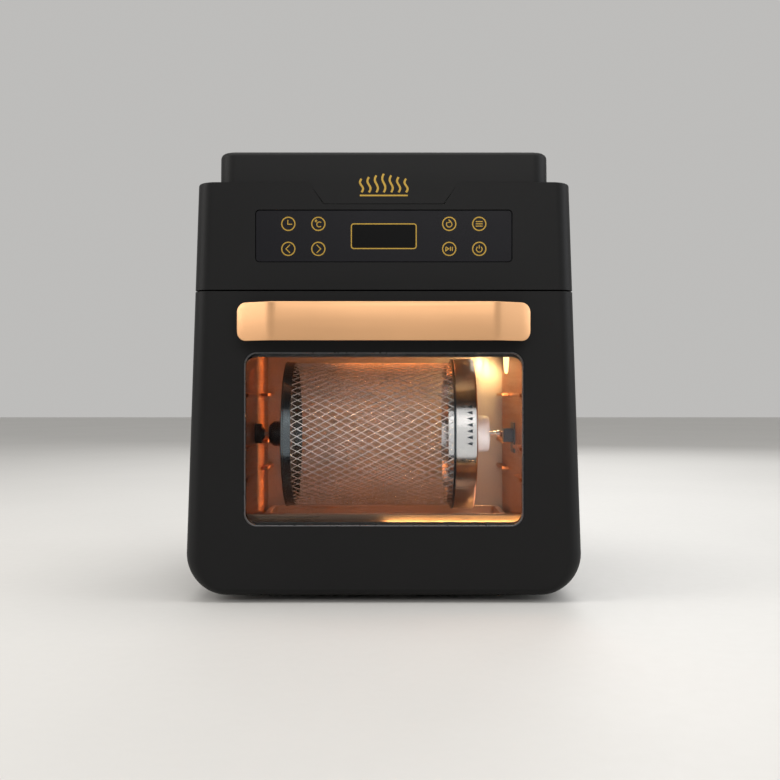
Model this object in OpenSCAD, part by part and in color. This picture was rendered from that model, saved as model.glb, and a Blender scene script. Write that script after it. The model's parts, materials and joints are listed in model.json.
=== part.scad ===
// Countertop air fryer oven with a drop-down glass door, a rotisserie drum and a convection fan.
// Row frame: +Z up, the door faces -Y, the origin is on the table under the middle of the box.
// Depths named *_d are measured back from the face of the door.

/* [Body] */
// Greatest width, just above the rounded bottom corners
body_w = 334; // [330:1:340]
// Width across the shoulders
shoulder_w = 313; // [310:1:316]
// Height of the top cap above the table
body_h = 378; // [376:1:386]
// Height of the shoulders above the table
shoulder_z = 352; // [351:1:353]
// Door face to the back of the rear cover
body_d = 300; // [296:1:315]
// Radius of the bottom corners, seen from the front
corner_r = 35; // [34:1:40]
// Radius of the upright corners, seen from above
plan_r = 14; // [12:1:16]
// Wall thickness of the plastic shells
wall = 3; // [2.5:0.1:3]
// Clearance under the body, filled by the feet
foot_gap = 5; // [4:0.5:6]

/* [Top cap] */
// Width of the raised cap
cap_w = 276; // [272:1:278]
// Depth of the tongue that drops into the control housing
tongue_h = 18; // [14:1:18]

/* [Door] */
// Height of the seam between door and control housing
seam_z = 261.5; // [261:0.5:263]
// Thickness of the door
door_t = 28; // [28:0.5:28.5]
// Window width
window_w = 234; // [224:1:236]
// Window height
window_h = 146; // [136:1:148]
// Height of the window's middle
window_z = 137; // [135:1:139]
// Reach of the handle in front of the door
handle_reach = 34; // [30:1:36]
// Width of the handle
handle_w = 240; // [220:1:244]
// Height of the handle bar
handle_h = 31.5; // [28:0.5:34]
// Height of the handle's middle
handle_z = 234; // [232:1:236]
// Height of the hinge axis
hinge_z = 24; // [24:0.5:25]
// Depth of the hinge axis behind the door face
hinge_d = 12; // [12:0.5:12.5]

/* [Control panel] */
// Width of the touch panel
panel_w = 214; // [200:1:220]
// Height of the touch panel
panel_h = 43; // [40:1:44]
// Height of the panel's middle
panel_z = 307; // [306:0.5:308]

/* [Oven cavity] */
// Inside width
cavity_w = 250; // [248:1:252]
// Floor level
cavity_z0 = 45; // [44:0.5:46]
// Ceiling level
cavity_z1 = 245; // [244:0.5:246]
// Depth of the back wall behind the door face
cavity_back_d = 250; // [246:1:252]

/* [Rotisserie drum] */
// Outside radius of the mesh
drum_r = 68.5; // [62:0.5:69]
// Height of the drum's axis
spit_z = 136; // [135:0.5:137]
// Depth of the drum's axis behind the door face
spit_d = 146; // [145:0.5:147]
// Left end of the drum
drum_x0 = -94.5; // [-96:0.5:-92]
// Right end of the drum lid
drum_x1 = 85; // [83:0.5:86]

/* [Hidden] */
$fn = 48;
ROUND = 96;

// Depth of the whole box, and the door face's place in it
spacer_l = 8;
overall_d = handle_reach + body_d + spacer_l;
front_y = handle_reach - overall_d / 2;

// Body outline
hip_z = foot_gap + corner_r;
seam_gap = 1.2;
joint_gap = 0.4;
panel_d0 = door_t + 2;
rear_t = 22;
rear_d0 = body_d - rear_t;
shell = 2.5;
cap_lip = 4.5;

// Oven cavity sheet metal
sheet = 1;
cavity_d0 = panel_d0 + sheet;

// Hinge
hinge_pin_r = 3;
hinge_bore_r = 3.05;
hinge_x = 100;
ear_t = 4;
ear_r = 6;
door_sweep_r = hinge_z - foot_gap;
sweep_clear_r = door_sweep_r + 1.5;

// Window stack
window_r = 11;
glass_t = 3;
inner_frame_d = door_t - 2;
inner_glass_d = inner_frame_d - 0.2 - glass_t;
pane_lap = 5;

// Handle
bar_t = 2;
grip_t = 8;
handle_end_w = 29;
handle_sweep = 15;
post_w = 14;

// Fan, heater and motor stack above the cavity
fan_r = 54;
shroud_r = 75;
shroud_h = 30;
element_r = 3.25;
guard_r = 85;
guard_drop = 20;
shaft_r = 3;
bush_bore_r = 3.05;
motor_z = 287.5;
stator_z = 296;
stator_h = 16;

// Rotisserie
lid_w = 19.5;
lid_r = drum_r + 4;
collar_r = drum_r + 1.7;
rim_r = drum_r + 1.5;
hub_r = 18;
hub_l = 16;
stub_r = 2.5;
socket_r = 9.5;
square_drive = 4.2;
bayonet_turn = 20;
groove_skin = 0.4;

// Lamp and switch
lamp_r = 20;
lamp_d = 205;
lamp_z = 215;
plunger_r = 2;
plunger_x = 138;
plunger_z = 215;

// ---- outline functions ----

function half_w(z) = body_w / 2 - (body_w - shoulder_w) / 2 * (z - hip_z) / (shoulder_z - hip_z);
function arc(c, r, a0, a1, n) = [for (i = [0:n]) c + r * [cos(a0 + (a1 - a0) * i / n), sin(a0 + (a1 - a0) * i / n)]];
function mirrored(pts) = [for (i = [len(pts) - 1:-1:0]) [-pts[i][0], pts[i][1]]];
function shifted(pts, v) = [for (p = pts) p + v];
function rounded_rect(w, h, r, n = 8) = concat(
    arc([w / 2 - r, r - h / 2], r, -90, 0, n), arc([w / 2 - r, h / 2 - r], r, 0, 90, n),
    arc([r - w / 2, h / 2 - r], r, 90, 180, n), arc([r - w / 2, r - h / 2], r, 180, 270, n));

// Right edge of the body from z0 up to z1, moved in by in_all all round and by in_x across
function right_edge(z0, z1, in_all = 0, in_x = 0) = concat(
    z0 < hip_z
        ? arc([half_w(hip_z) - corner_r - in_x, hip_z], corner_r - in_all, -90, 0, 12)
        : [[half_w(z0) - in_all - in_x, z0]],
    [[half_w(z1) - in_all - in_x, z1]]);
function outline(z0, z1, in_all = 0, in_x = 0) =
    let (edge = right_edge(z0, z1, in_all, in_x)) concat(edge, mirrored(edge));

// How far a rounded edge of radius r has drawn in at depth d
function drawn_in(d, r) = d >= r ? 0 : r - sqrt(r * r - (r - d) * (r - d));

// ---- building blocks ----

// Points (x, z) as a prism from depth d0 to d1
module upright(pts, d0, d1) {
    translate([0, front_y + d1, 0]) rotate([90, 0, 0]) linear_extrude(d1 - d0) polygon(pts);
}

// Points (depth, z) as a prism from x0 to x1
module sideways(pts, x0, x1) {
    translate([x0, front_y, 0]) rotate([90, 0, 90]) linear_extrude(x1 - x0) polygon(pts);
}

// Points (x, depth) as a prism from z0 to z1
module flat(pts, z0, z1) {
    translate([0, front_y, z0]) linear_extrude(z1 - z0) polygon(pts);
}

module block(x0, x1, d0, d1, z0, z1) {
    translate([x0, front_y + d0, z0]) cube([x1 - x0, d1 - d0, z1 - z0]);
}

// Round bars along X, along the depth and upright
module bar_x(r, x0, x1, d, z) {
    translate([x0, front_y + d, z]) rotate([0, 90, 0]) cylinder(r = r, h = x1 - x0, $fn = ROUND);
}

module bar_d(r, d0, d1, x, z) {
    translate([x, front_y + d1, z]) rotate([90, 0, 0]) cylinder(r = r, h = d1 - d0);
}

module bar_z(r, z0, z1, x, d) {
    translate([x, front_y + d, z0]) cylinder(r = r, h = z1 - z0, $fn = ROUND);
}

module both_sides() {
    children();
    mirror([1, 0, 0]) children();
}

// Rings of points joined into one closed skin, each ring being a list of [x, y, z]
module loft(rings) {
    n = len(rings[0]);
    last = len(rings) - 1;
    skin = [for (k = [0:last - 1]) for (i = [0:n - 1])
        [k * n + i, (k + 1) * n + i, (k + 1) * n + (i + 1) % n, k * n + (i + 1) % n]];
    first_cap = [for (i = [0:n - 1]) i];
    last_cap = [for (i = [n - 1:-1:0]) last * n + i];
    polyhedron(points = [for (ring = rings) each ring], faces = concat([first_cap], skin, [last_cap]));
}

function ring_at(pts, d) = [for (p = pts) [p[0], front_y + d, p[1]]];

// Rings of the body outline drawn in by t, rounding its upright corners behind depth d and running to depth end
function shell_rings(z0, z1, t, d, dir, end) = let (r = plan_r - t, last = ring_at(outline(z0, z1, t), end)) concat(
    [for (k = [0:6]) let (s = r * (1 - cos(15 * k))) ring_at(outline(z0, z1, t, drawn_in(s, r)), d + dir * s)],
    [last]);

// Body shape between z0 and z1, inset by t, with rounded upright corners at the front or the back
module rounded_front(z0, z1, depth, t = 0) {
    rings = shell_rings(z0, z1, t, t, 1, depth);
    loft([for (i = [len(rings) - 1:-1:0]) rings[i]]);
}

module rounded_back(z0, z1, d0, d1, t = 0) {
    loft(shell_rings(z0, z1, t, d1 - t, -1, d0));
}

// A row of upright slots, centred on x
module slots_d(count, pitch, width, z0, z1, d0, d1, x = 0) {
    for (i = [0:count - 1])
        block(x + (i - (count - 1) / 2) * pitch - width / 2, x + (i - (count - 1) / 2) * pitch + width / 2,
            d0, d1, z0, z1);
}

// Pan-head screw pointing into the body from the back
module screw_d(x, d, z) {
    bar_d(3.4, d, d + 1.8, x, z);
    bar_d(1.6, d - 9, d, x, z);
}

// ---- housing shells ----

notch_top = 63;
notch_foot = 50;
function notch(gap) = [
    [-notch_foot - gap, shoulder_z - tongue_h - gap], [notch_foot + gap, shoulder_z - tongue_h - gap],
    [notch_top + gap, shoulder_z + 1], [-notch_top - gap, shoulder_z + 1]];

module front_housing() {
    z0 = seam_z + seam_gap / 2;
    depth = panel_d0 - 0.5;
    pocket = shifted(rounded_rect(panel_w + 1, panel_h + 1, 3.5), [0, panel_z]);
    color([0.145, 0.145, 0.145]) difference() {
        union() {
            difference() {
                rounded_front(z0, shoulder_z, depth);
                rounded_front(z0 + wall, shoulder_z - wall, depth + 1, wall);
                block(-132, 132, wall, depth + 1, shoulder_z - wall - 1, shoulder_z + 1);
            }
            upright(shifted(rounded_rect(panel_w + 8, panel_h + 8, 5), [0, panel_z]), wall - 0.5, wall + 3);
        }
        upright(pocket, -1, 2.6);
        block(-28, 28, 2, wall + 4, panel_z - 11, panel_z + 11);
        upright(notch(joint_gap), -1, depth + 1);
    }
}

function cap_ring(draw, z, front) = [for (p = rounded_rect(
        cap_w - 2 * draw, body_d - 5 - front - 2 * draw, max(plan_r - draw, 2)))
    [p[0], front_y + p[1] + (body_d - 5 + front) / 2, z]];

module top_cap() {
    color([0.17, 0.17, 0.17]) difference() {
        union() {
            loft([cap_ring(0, shoulder_z, 0.3), cap_ring(0, body_h - cap_lip, 1.4),
                cap_ring(1.4, body_h - 1.4, 1.6), cap_ring(cap_lip, body_h, 1.8)]);
            upright(notch(0), 0.3, wall + 0.3);
        }
        loft([cap_ring(shell, shoulder_z - 1, 0.3), cap_ring(shell, body_h - cap_lip - 1, 1.4),
            cap_ring(cap_lip + 1, body_h - shell, 1.8)]);
        for (side = [-1, 1])
            slots_d(9, 10, 5, shoulder_z + 5, body_h - 8, body_d - 9, body_d - 4, side * 56);
    }
}

// Wrap-round side: bottom corner, side wall, shoulder and a front return
module side_panel() {
    outer = right_edge(foot_gap, shoulder_z);
    inner = right_edge(foot_gap, shoulder_z - wall, wall);
    upper = [[132, shoulder_z], [132, shoulder_z - wall]];
    back_in = [for (i = [len(inner) - 1:-1:0]) inner[i]];
    difference() {
        union() {
            upright(concat(outer, upper, back_in), panel_d0, rear_d0 - joint_gap);
            upright([[151, 44], [half_w(44) - 2, 44], [half_w(258) - 2, 258], [151, 258]],
                panel_d0, panel_d0 + 2);
        }
        bar_x(sweep_clear_r, 60, 200, hinge_d, hinge_z);
        for (row = [0:4]) for (i = [0:6])
            block(140, 170, 118 + i * 17, 130 + i * 17, 288 + row * 10, 292 + row * 10);
    }
}

module left_side_panel() {
    color([0.145, 0.145, 0.145]) mirror([1, 0, 0]) side_panel();
}

module right_side_panel() {
    color([0.145, 0.145, 0.145]) side_panel();
}

screw_spots = [[-140, 60], [140, 60], [-140, 200], [140, 200], [-135, 330], [135, 330]];
gland_x = 112;
gland_z = 42;
cord_r = 3.75;

module rear_cover() {
    color([0.13, 0.13, 0.13]) difference() {
        union() {
            difference() {
                rounded_back(foot_gap, shoulder_z, rear_d0, body_d);
                rounded_back(foot_gap, shoulder_z - wall, rear_d0 - 1, body_d, wall);
            }
            for (p = screw_spots) bar_d(5, rear_d0, body_d - wall + 0.5, p[0], p[1]);
        }
        for (p = screw_spots) bar_d(1.7, rear_d0 - 1, body_d + 1, p[0], p[1]);
        bar_d(9.1, rear_d0, body_d + 1, gland_x, gland_z);
        slots_d(15, 12, 5, 80, 120, body_d - wall - 1, body_d + 1);
        slots_d(15, 12, 5, 255, 295, body_d - wall - 1, body_d + 1);
        slots_d(3, 9, 5, duct_z - 12, duct_z + 12, body_d - wall - 1, body_d + 1, duct_x);
    }
}

module base_tray() {
    edge = half_w(hip_z) - corner_r - 0.4;
    color([0.13, 0.13, 0.13]) difference() {
        union() {
            block(-edge, edge, 33, rear_d0 - joint_gap, foot_gap, foot_gap + wall);
            for (d = [95, 160, 225]) block(-edge + 8, edge - 8, d, d + 2.5, foot_gap + wall, foot_gap + 12);
        }
        for (x = [-edge + 22, edge - 22]) for (d = foot_d) bar_z(4, 0, 20, x, d);
        slots_d(13, 14, 6, 0, 20, 180, 215);
    }
}

foot_r = 11;
foot_d = [70, 250];

module feet() {
    edge = half_w(hip_z) - corner_r - 22.4;
    color([0.06, 0.06, 0.06]) for (x = [-edge, edge]) for (d = foot_d) {
        bar_z(foot_r, 0, foot_gap, x, d);
        bar_z(3.9, foot_gap, foot_gap + wall + 2, x, d);
    }
}

spacer_x = 105;
spacer_z = 318;

module rear_spacers() {
    color([0.1, 0.1, 0.1]) both_sides() bar_d(8, body_d, body_d + spacer_l, spacer_x, spacer_z);
}

module housing_screws() {
    color([0.6, 0.6, 0.62]) for (p = screw_spots) screw_d(p[0], body_d, p[1]);
}

module cable_gland() {
    color([0.08, 0.08, 0.08]) difference() {
        union() {
            bar_d(12, body_d, body_d + 3, gland_x, gland_z);
            bar_d(9, body_d - 8, body_d, gland_x, gland_z);
            bar_d(12, body_d - 8, body_d - wall - 0.1, gland_x, gland_z);
        }
        bar_d(cord_r, body_d - 9, body_d + 4, gland_x, gland_z);
    }
}

// ---- controls ----

module touch_panel() {
    color([0.14, 0.14, 0.155]) upright(shifted(rounded_rect(panel_w, panel_h, 3), [0, panel_z]), 0.5, 2.5);
}

module display_module() {
    color([0.05, 0.05, 0.05]) block(-27.5, 27.5, 2.6, 7.6, panel_z - 10.5, panel_z + 10.5);
}

module control_board() {
    color([0.05, 0.3, 0.12]) block(-100, 100, 7.7, 9.3, panel_z - 19, panel_z + 19);
    color([0.1, 0.1, 0.1]) block(40, 62, 9.3, 12, panel_z - 8, panel_z + 8);
}

board_x = cavity_w / 2 + 29;

module power_board() {
    color([0.05, 0.3, 0.12]) block(board_x, board_x + 1.6, 110, 200, 70, 150);
    color([0.2, 0.35, 0.6]) for (d = [118, 142]) block(board_x - 16, board_x, d, d + 18, 80, 96);
    color([0.75, 0.65, 0.2]) block(board_x - 18, board_x, 166, 190, 80, 100);
    color([0.1, 0.1, 0.15]) bar_x(8, board_x - 22, board_x, 130, 130);
}

// ---- oven cavity ----

wall_x = cavity_w / 2;
shelf_levels = [98, 125, 172];

module shelf_ledges() {
    for (z = shelf_levels) for (d = [cavity_d0 + 6, cavity_back_d - 64])
        sideways([[d, z], [d + 58, z], [d + 55, z + 3], [d + 3, z + 3]], wall_x - 7, wall_x + 0.5);
}

module cavity_left_wall() {
    color([0.72, 0.7, 0.68]) mirror([1, 0, 0]) difference() {
        union() {
            block(wall_x, wall_x + sheet, cavity_d0, cavity_back_d + sheet, cavity_z0, cavity_z1);
            shelf_ledges();
        }
        bar_x(socket_r + 0.6, wall_x - 1, wall_x + 2, spit_d, spit_z);
    }
}

module cavity_right_wall() {
    color([0.72, 0.7, 0.68]) difference() {
        union() {
            block(wall_x, wall_x + sheet, cavity_d0, cavity_back_d + sheet, cavity_z0, cavity_z1);
            shelf_ledges();
        }
        bar_x(lamp_r, wall_x - 1, wall_x + 2, lamp_d, lamp_z);
    }
}

duct_x = 84;
duct_z = 226;
duct_half = 15;

module cavity_back_wall() {
    color([0.72, 0.7, 0.68]) difference() {
        block(-wall_x, wall_x, cavity_back_d, cavity_back_d + sheet, cavity_z0, cavity_z1);
        for (i = [-1:1]) for (k = [-1:1])
            bar_d(3, cavity_back_d - 1, cavity_back_d + 2, duct_x + i * 9, duct_z + k * 9);
        bar_d(2.6, cavity_back_d - 1, cavity_back_d + 2, -80, 225);
    }
}

module cavity_floor() {
    color([0.72, 0.7, 0.68])
        block(-wall_x - sheet, wall_x + sheet, cavity_d0, cavity_back_d + sheet, cavity_z0 - sheet, cavity_z0);
}

module cavity_ceiling() {
    color([0.72, 0.7, 0.68]) difference() {
        block(-wall_x - sheet, wall_x + sheet, cavity_d0, cavity_back_d + sheet, cavity_z1, cavity_z1 + sheet);
        bar_z(shroud_r, cavity_z1 - 1, cavity_z1 + 2, 0, spit_d);
    }
}

frame_z0 = 36;
frame_z1 = 258;

module cavity_front_frame() {
    color([0.6, 0.59, 0.58]) difference() {
        block(-150, 150, panel_d0, panel_d0 + sheet, frame_z0, frame_z1);
        block(-wall_x, wall_x, panel_d0 - 1, panel_d0 + 2, cavity_z0, cavity_z1);
        bar_d(plunger_r + 0.3, panel_d0 - 1, panel_d0 + 2, plunger_x, plunger_z);
    }
}

function seal_ring(grow) = shifted(rounded_rect(cavity_w + 2 * grow, cavity_z1 - cavity_z0 + 2 * grow, 4 + grow),
    [0, (cavity_z0 + cavity_z1) / 2]);

module door_seal() {
    color([0.2, 0.2, 0.2]) difference() {
        upright(seal_ring(8), panel_d0 - 2.7, panel_d0);
        upright(seal_ring(1), panel_d0 - 4, panel_d0 + 1);
    }
}

module insulation() {
    top_z = cavity_z1 + sheet + 0.2;
    back = cavity_back_d + sheet + 0.2;
    color([0.9, 0.88, 0.8]) {
        difference() {
            block(-wall_x + 2, wall_x - 2, cavity_d0 + 2, cavity_back_d, top_z, top_z + 8);
            bar_z(guard_r + 1, top_z - 1, top_z + 9, 0, spit_d);
        }
        difference() {
            block(-wall_x + 2, wall_x - 2, back, back + 8, 50, 240);
            block(duct_x - duct_half - 1, duct_x + duct_half + 1, back - 1, back + 9,
                duct_z - duct_half - 1, 241);
            bar_d(9, back - 1, back + 9, -80, 225);
        }
    }
}

tray_h = 11;
tray_pull_z = cavity_z0 + 26;

module drip_tray() {
    x = wall_x - 9;
    d0 = cavity_d0 + 8;
    d1 = cavity_back_d - 8;
    color([0.55, 0.53, 0.5]) difference() {
        union() {
            block(-x, x, d0, d1, cavity_z0, cavity_z0 + tray_h);
            block(-x - 4, x + 4, d0 - 4, d1 + 4, cavity_z0 + tray_h - 1, cavity_z0 + tray_h);
            block(-x - 4, x + 4, d0 - 4, d0 - 2.8, cavity_z0 + tray_h - 1, tray_pull_z);
            block(-x - 4, x + 4, d0 - 4, d0 + 1, tray_pull_z - 1, tray_pull_z);
        }
        block(1 - x, x - 1, d0 + 1, d1 - 1, cavity_z0 + 1, cavity_z0 + tray_h + 1);
    }
}

module exhaust_duct() {
    d0 = cavity_back_d + sheet;
    color([0.6, 0.6, 0.6]) difference() {
        block(duct_x - duct_half, duct_x + duct_half, d0, rear_d0 - 2, duct_z - duct_half, duct_z + duct_half);
        block(duct_x - duct_half + 1, duct_x + duct_half - 1, d0 - 1, rear_d0,
            duct_z - duct_half + 1, duct_z + duct_half - 1);
    }
}

// ---- heater and convection fan ----

element_z = 236;

module element_ring(r) {
    translate([0, front_y + spit_d, element_z]) rotate_extrude($fn = ROUND) translate([r, 0]) circle(element_r);
}

module heating_element() {
    color([0.25, 0.24, 0.24]) {
        element_ring(62);
        element_ring(42);
        bar_d(element_r - 0.4, spit_d + 42, spit_d + 62, 0, element_z);
        for (side = [-1, 1])
            bar_z(element_r - 0.4, element_z, cavity_z1 + sheet + shroud_h + 8, side * 62, spit_d);
    }
}

module heater_shroud() {
    z0 = cavity_z1 + sheet;
    color([0.65, 0.65, 0.66]) difference() {
        union() {
            bar_z(shroud_r + 1, z0, z0 + shroud_h, 0, spit_d);
            bar_z(guard_r - 1, z0, z0 + 1, 0, spit_d);
        }
        bar_z(shroud_r, z0 - 1, z0 + shroud_h - 1, 0, spit_d);
        bar_z(6, z0, z0 + shroud_h + 1, 0, spit_d);
        for (side = [-1, 1]) bar_z(element_r + 0.4, z0, z0 + shroud_h + 1, side * 62, spit_d);
    }
}

module fan_guard() {
    z0 = cavity_z1 - guard_drop;
    color([0.7, 0.69, 0.67]) difference() {
        bar_z(guard_r, z0, cavity_z1, 0, spit_d);
        bar_z(guard_r - 1, z0 + 1, cavity_z1 + 1, 0, spit_d);
        translate([0, front_y + spit_d, z0 - 1]) for (r = [14, 30, 46, 62]) for (i = [0:7])
            rotate([0, 0, i * 45]) rotate_extrude(angle = 36, $fn = ROUND) translate([r, 0]) square([9, 4]);
    }
}

module temperature_sensor() {
    color([0.8, 0.8, 0.82]) {
        bar_d(2.5, cavity_back_d - 22, cavity_back_d + 8, -80, 225);
        bar_d(6, cavity_back_d + sheet, cavity_back_d + 4, -80, 225);
    }
}

module thermal_cutout() {
    z0 = cavity_z1 + sheet + shroud_h;
    color([0.85, 0.82, 0.75]) {
        bar_z(8, z0, z0 + 5, 0, spit_d + 44);
        bar_z(5, z0 + 5, z0 + 8, 0, spit_d + 44);
    }
}

module motor_bridge() {
    leg = wall_x + 0.5;
    color([0.62, 0.62, 0.64]) difference() {
        union() {
            block(-leg, leg, spit_d - 28, spit_d + 28, motor_z - 1.5, motor_z);
            both_sides() block(leg - 1.5, leg, spit_d - 28, spit_d + 28, cavity_z1 + sheet, motor_z - 1);
        }
        bar_z(8, motor_z - 3, motor_z + 1, 0, spit_d);
        for (side = [-1, 1]) bar_z(5, motor_z - 3, motor_z + 1, side * 62, spit_d);
    }
}

rotor_r = 13.8;

module motor_stator() {
    color([0.45, 0.45, 0.47]) difference() {
        union() {
            block(-30, 30, spit_d - 25, spit_d + 25, stator_z, stator_z + stator_h);
            for (side = [-1, 1])
                block(29, 60, spit_d + side * 20 - 5, spit_d + side * 20 + 5, stator_z, stator_z + stator_h);
        }
        bar_z(rotor_r + 0.4, stator_z - 1, stator_z + stator_h + 1, 0, spit_d);
    }
}

module motor_coil() {
    color([0.7, 0.42, 0.2]) bar_d(11, spit_d - 14.9, spit_d + 14.9, 46, stator_z + stator_h / 2);
}

bush_z = [289, 313];

module motor_brackets() {
    color([0.66, 0.66, 0.68]) {
        for (level = [[motor_z, 289, stator_z], [321, 319, stator_z + stator_h]]) difference() {
            union() {
                block(-28, 28, spit_d - 24, spit_d + 24, min(level[0], level[1]), max(level[0], level[1]));
                for (x = [-23, 23]) for (d = [-18, 18])
                    bar_z(3, min(level[1], level[2]), max(level[1], level[2]), x, spit_d + d);
            }
            bar_z(4.2, 286, 322, 0, spit_d);
        }
    }
}

module motor_bushes() {
    color([0.72, 0.5, 0.3]) for (z = bush_z) difference() {
        bar_z(7, z, z + 6, 0, spit_d);
        bar_z(bush_bore_r, z - 1, z + 7, 0, spit_d);
    }
}

module fan_rotor() {
    color([0.75, 0.75, 0.77]) {
        bar_z(shaft_r, 251, 344, 0, spit_d);
        bar_z(rotor_r, stator_z, stator_z + stator_h, 0, spit_d);
    }
}

module convection_fan() {
    z0 = 252;
    color([0.78, 0.78, 0.8]) difference() {
        union() {
            bar_z(fan_r, z0 + 12, z0 + 13.2, 0, spit_d);
            bar_z(9, z0 + 2, z0 + 12.5, 0, spit_d);
            translate([0, front_y + spit_d, z0]) for (i = [0:9])
                rotate([0, 0, i * 36]) translate([24, -0.6, 0]) rotate([0, 0, 20]) cube([28, 1.2, 12.5]);
        }
        bar_z(shaft_r, z0 - 1, z0 + 20, 0, spit_d);
    }
}

module cooling_fan() {
    z0 = 326;
    color([0.15, 0.15, 0.15]) difference() {
        union() {
            bar_z(10, z0, z0 + 14, 0, spit_d);
            bar_z(46, z0, z0 + 1.5, 0, spit_d);
            translate([0, front_y + spit_d, z0]) for (i = [0:10])
                rotate([0, 0, i * 360 / 11]) translate([8, -0.8, 0]) cube([37, 1.6, 13]);
        }
        bar_z(shaft_r, z0 - 1, z0 + 20, 0, spit_d);
    }
}

// ---- rotisserie ----

motor_x = -wall_x - 27;

module rotisserie_motor() {
    color([0.7, 0.7, 0.72]) difference() {
        union() {
            bar_x(25, motor_x, -wall_x - 5, spit_d, spit_z - 10);
            sideways(shifted(rounded_rect(74, 16, 6), [spit_d, spit_z - 10]), -wall_x - 5, -wall_x - 3.5);
            for (d = [-31, 31]) bar_x(3.5, -wall_x - 3.5, -wall_x - sheet, spit_d + d, spit_z - 10);
        }
        bar_x(socket_r + 0.6, -wall_x - 12, -wall_x, spit_d, spit_z);
    }
}

module drive_socket() {
    color([0.06, 0.06, 0.06]) difference() {
        union() {
            bar_x(socket_r, -wall_x - 11.5, -wall_x + 6, spit_d, spit_z);
            bar_x(4, -wall_x + 6, -wall_x + 8.5, spit_d, spit_z);
        }
        half = square_drive / 2 + 0.1;
        block(-wall_x - 6, -wall_x + 10, spit_d - half, spit_d + half, spit_z - half, spit_z + half);
    }
}

collar_x = drum_x1 - lid_w;

module basket_mesh() {
    color([0.55, 0.55, 0.55]) difference() {
        bar_x(drum_r, drum_x0 + 2, collar_x - 2, spit_d, spit_z);
        bar_x(drum_r - 0.9, drum_x0 + 1, collar_x, spit_d, spit_z);
    }
}

// Left end disc with its hub and square stub, and the collar that carries the lid
module basket_ends() {
    color([0.12, 0.13, 0.14]) {
        difference() {
            bar_x(rim_r, drum_x0, drum_x0 + 9, spit_d, spit_z);
            bar_x(drum_r + 0.05, drum_x0 + 2, drum_x0 + 10, spit_d, spit_z);
        }
        bar_x(12, drum_x0 - 13, drum_x0, spit_d, spit_z);
        translate([drum_x0 - 17, front_y + spit_d, spit_z]) rotate([0, 90, 0])
            cylinder(r1 = 9, r2 = 12, h = 4, $fn = ROUND);
        block(-wall_x - 4, drum_x0 - 16, spit_d - square_drive / 2, spit_d + square_drive / 2,
            spit_z - square_drive / 2, spit_z + square_drive / 2);
    }
    color([0.5, 0.5, 0.52]) {
        difference() {
            union() {
                bar_x(lid_r, collar_x - 2, collar_x - 0.2, spit_d, spit_z);
                bar_x(collar_r, collar_x - 2, collar_x + 14, spit_d, spit_z);
                bar_x(drum_r - 0.95, collar_x - 7, collar_x - 1, spit_d, spit_z);
            }
            bar_x(drum_r - 2, collar_x - 8, collar_x + 15, spit_d, spit_z);
        }
        for (i = [0:2]) translate([collar_x + 8, front_y + spit_d, spit_z]) rotate([i * 120, 0, 0])
            translate([0, 0, collar_r - 0.3]) cylinder(r = 1.5, h = 2);
    }
}

// Twist-off lid: ring with three bayonet grooves inside it, end disc, hub and round stub with a groove collar
module basket_lid() {
    color([0.72, 0.72, 0.7]) {
        difference() {
            bar_x(lid_r, collar_x, drum_x1, spit_d, spit_z);
            bar_x(lid_r - 1.2, collar_x - 1, drum_x1 - 1.5, spit_d, spit_z);
            translate([collar_x + 8, front_y + spit_d, spit_z]) rotate([0, -90, 0]) for (i = [0:2]) {
                rotate([0, 0, i * 120 - bayonet_turn - 1.6]) rotate_extrude(angle = bayonet_turn + 3.2, $fn = ROUND)
                    translate([lid_r - 3, -1.7]) square([3 - groove_skin, 3.4]);
                rotate([0, 0, i * 120 - bayonet_turn]) translate([lid_r - 3, -1.8, 0]) cube([3 - groove_skin, 3.6, 10]);
            }
            for (i = [0:11]) translate([drum_x1 - 4, front_y + spit_d, spit_z]) rotate([i * 30, 0, 0])
                translate([0, 0, 48]) rotate([0, 90, 0]) cylinder(r = 6, h = 6);
        }
        bar_x(hub_r, drum_x1, drum_x1 + hub_l - 1, spit_d, spit_z);
        bar_x(hub_r - 1.2, drum_x1 + hub_l - 1, drum_x1 + hub_l, spit_d, spit_z);
        bar_x(stub_r, drum_x1 + hub_l, wall_x - 3, spit_d, spit_z);
        translate([cradle_x - 4, front_y + spit_d, spit_z]) sphere(r = 3.6);
    }
}

cradle_x = wall_x - 10;

module shaft_cradle() {
    gap = stub_r + 0.1;
    color([0.5, 0.5, 0.52]) difference() {
        union() {
            block(wall_x - 1.2, wall_x, spit_d - 15, spit_d + 15, spit_z - 18, spit_z + 11);
            block(cradle_x, wall_x - 1, spit_d - 7, spit_d + 7, spit_z - 8, spit_z + 5);
        }
        bar_x(gap, cradle_x - 1, wall_x - 1.2, spit_d, spit_z);
        block(cradle_x - 1, wall_x - 1.2, spit_d - gap, spit_d + gap, spit_z, spit_z + 6);
    }
}

// ---- lamp, switch and latch ----

module lamp_holder() {
    color([0.85, 0.84, 0.8]) difference() {
        union() {
            bar_x(lamp_r + 4, wall_x + sheet, wall_x + 3, lamp_d, lamp_z);
            bar_x(lamp_r - 2, wall_x + 2, wall_x + 26, lamp_d, lamp_z);
        }
        bar_x(lamp_r - 4, wall_x, wall_x + 22, lamp_d, lamp_z);
    }
}

module lamp_bulb() {
    color([1, 0.85, 0.6]) {
        bar_x(7, wall_x + 8, wall_x + 22, lamp_d, lamp_z);
        translate([wall_x + 8, front_y + lamp_d, lamp_z]) sphere(r = 7);
    }
}

module lamp_lens() {
    color([1, 0.9, 0.7]) bar_x(lamp_r - 0.1, wall_x - 1.5, wall_x + sheet, lamp_d, lamp_z);
}

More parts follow.
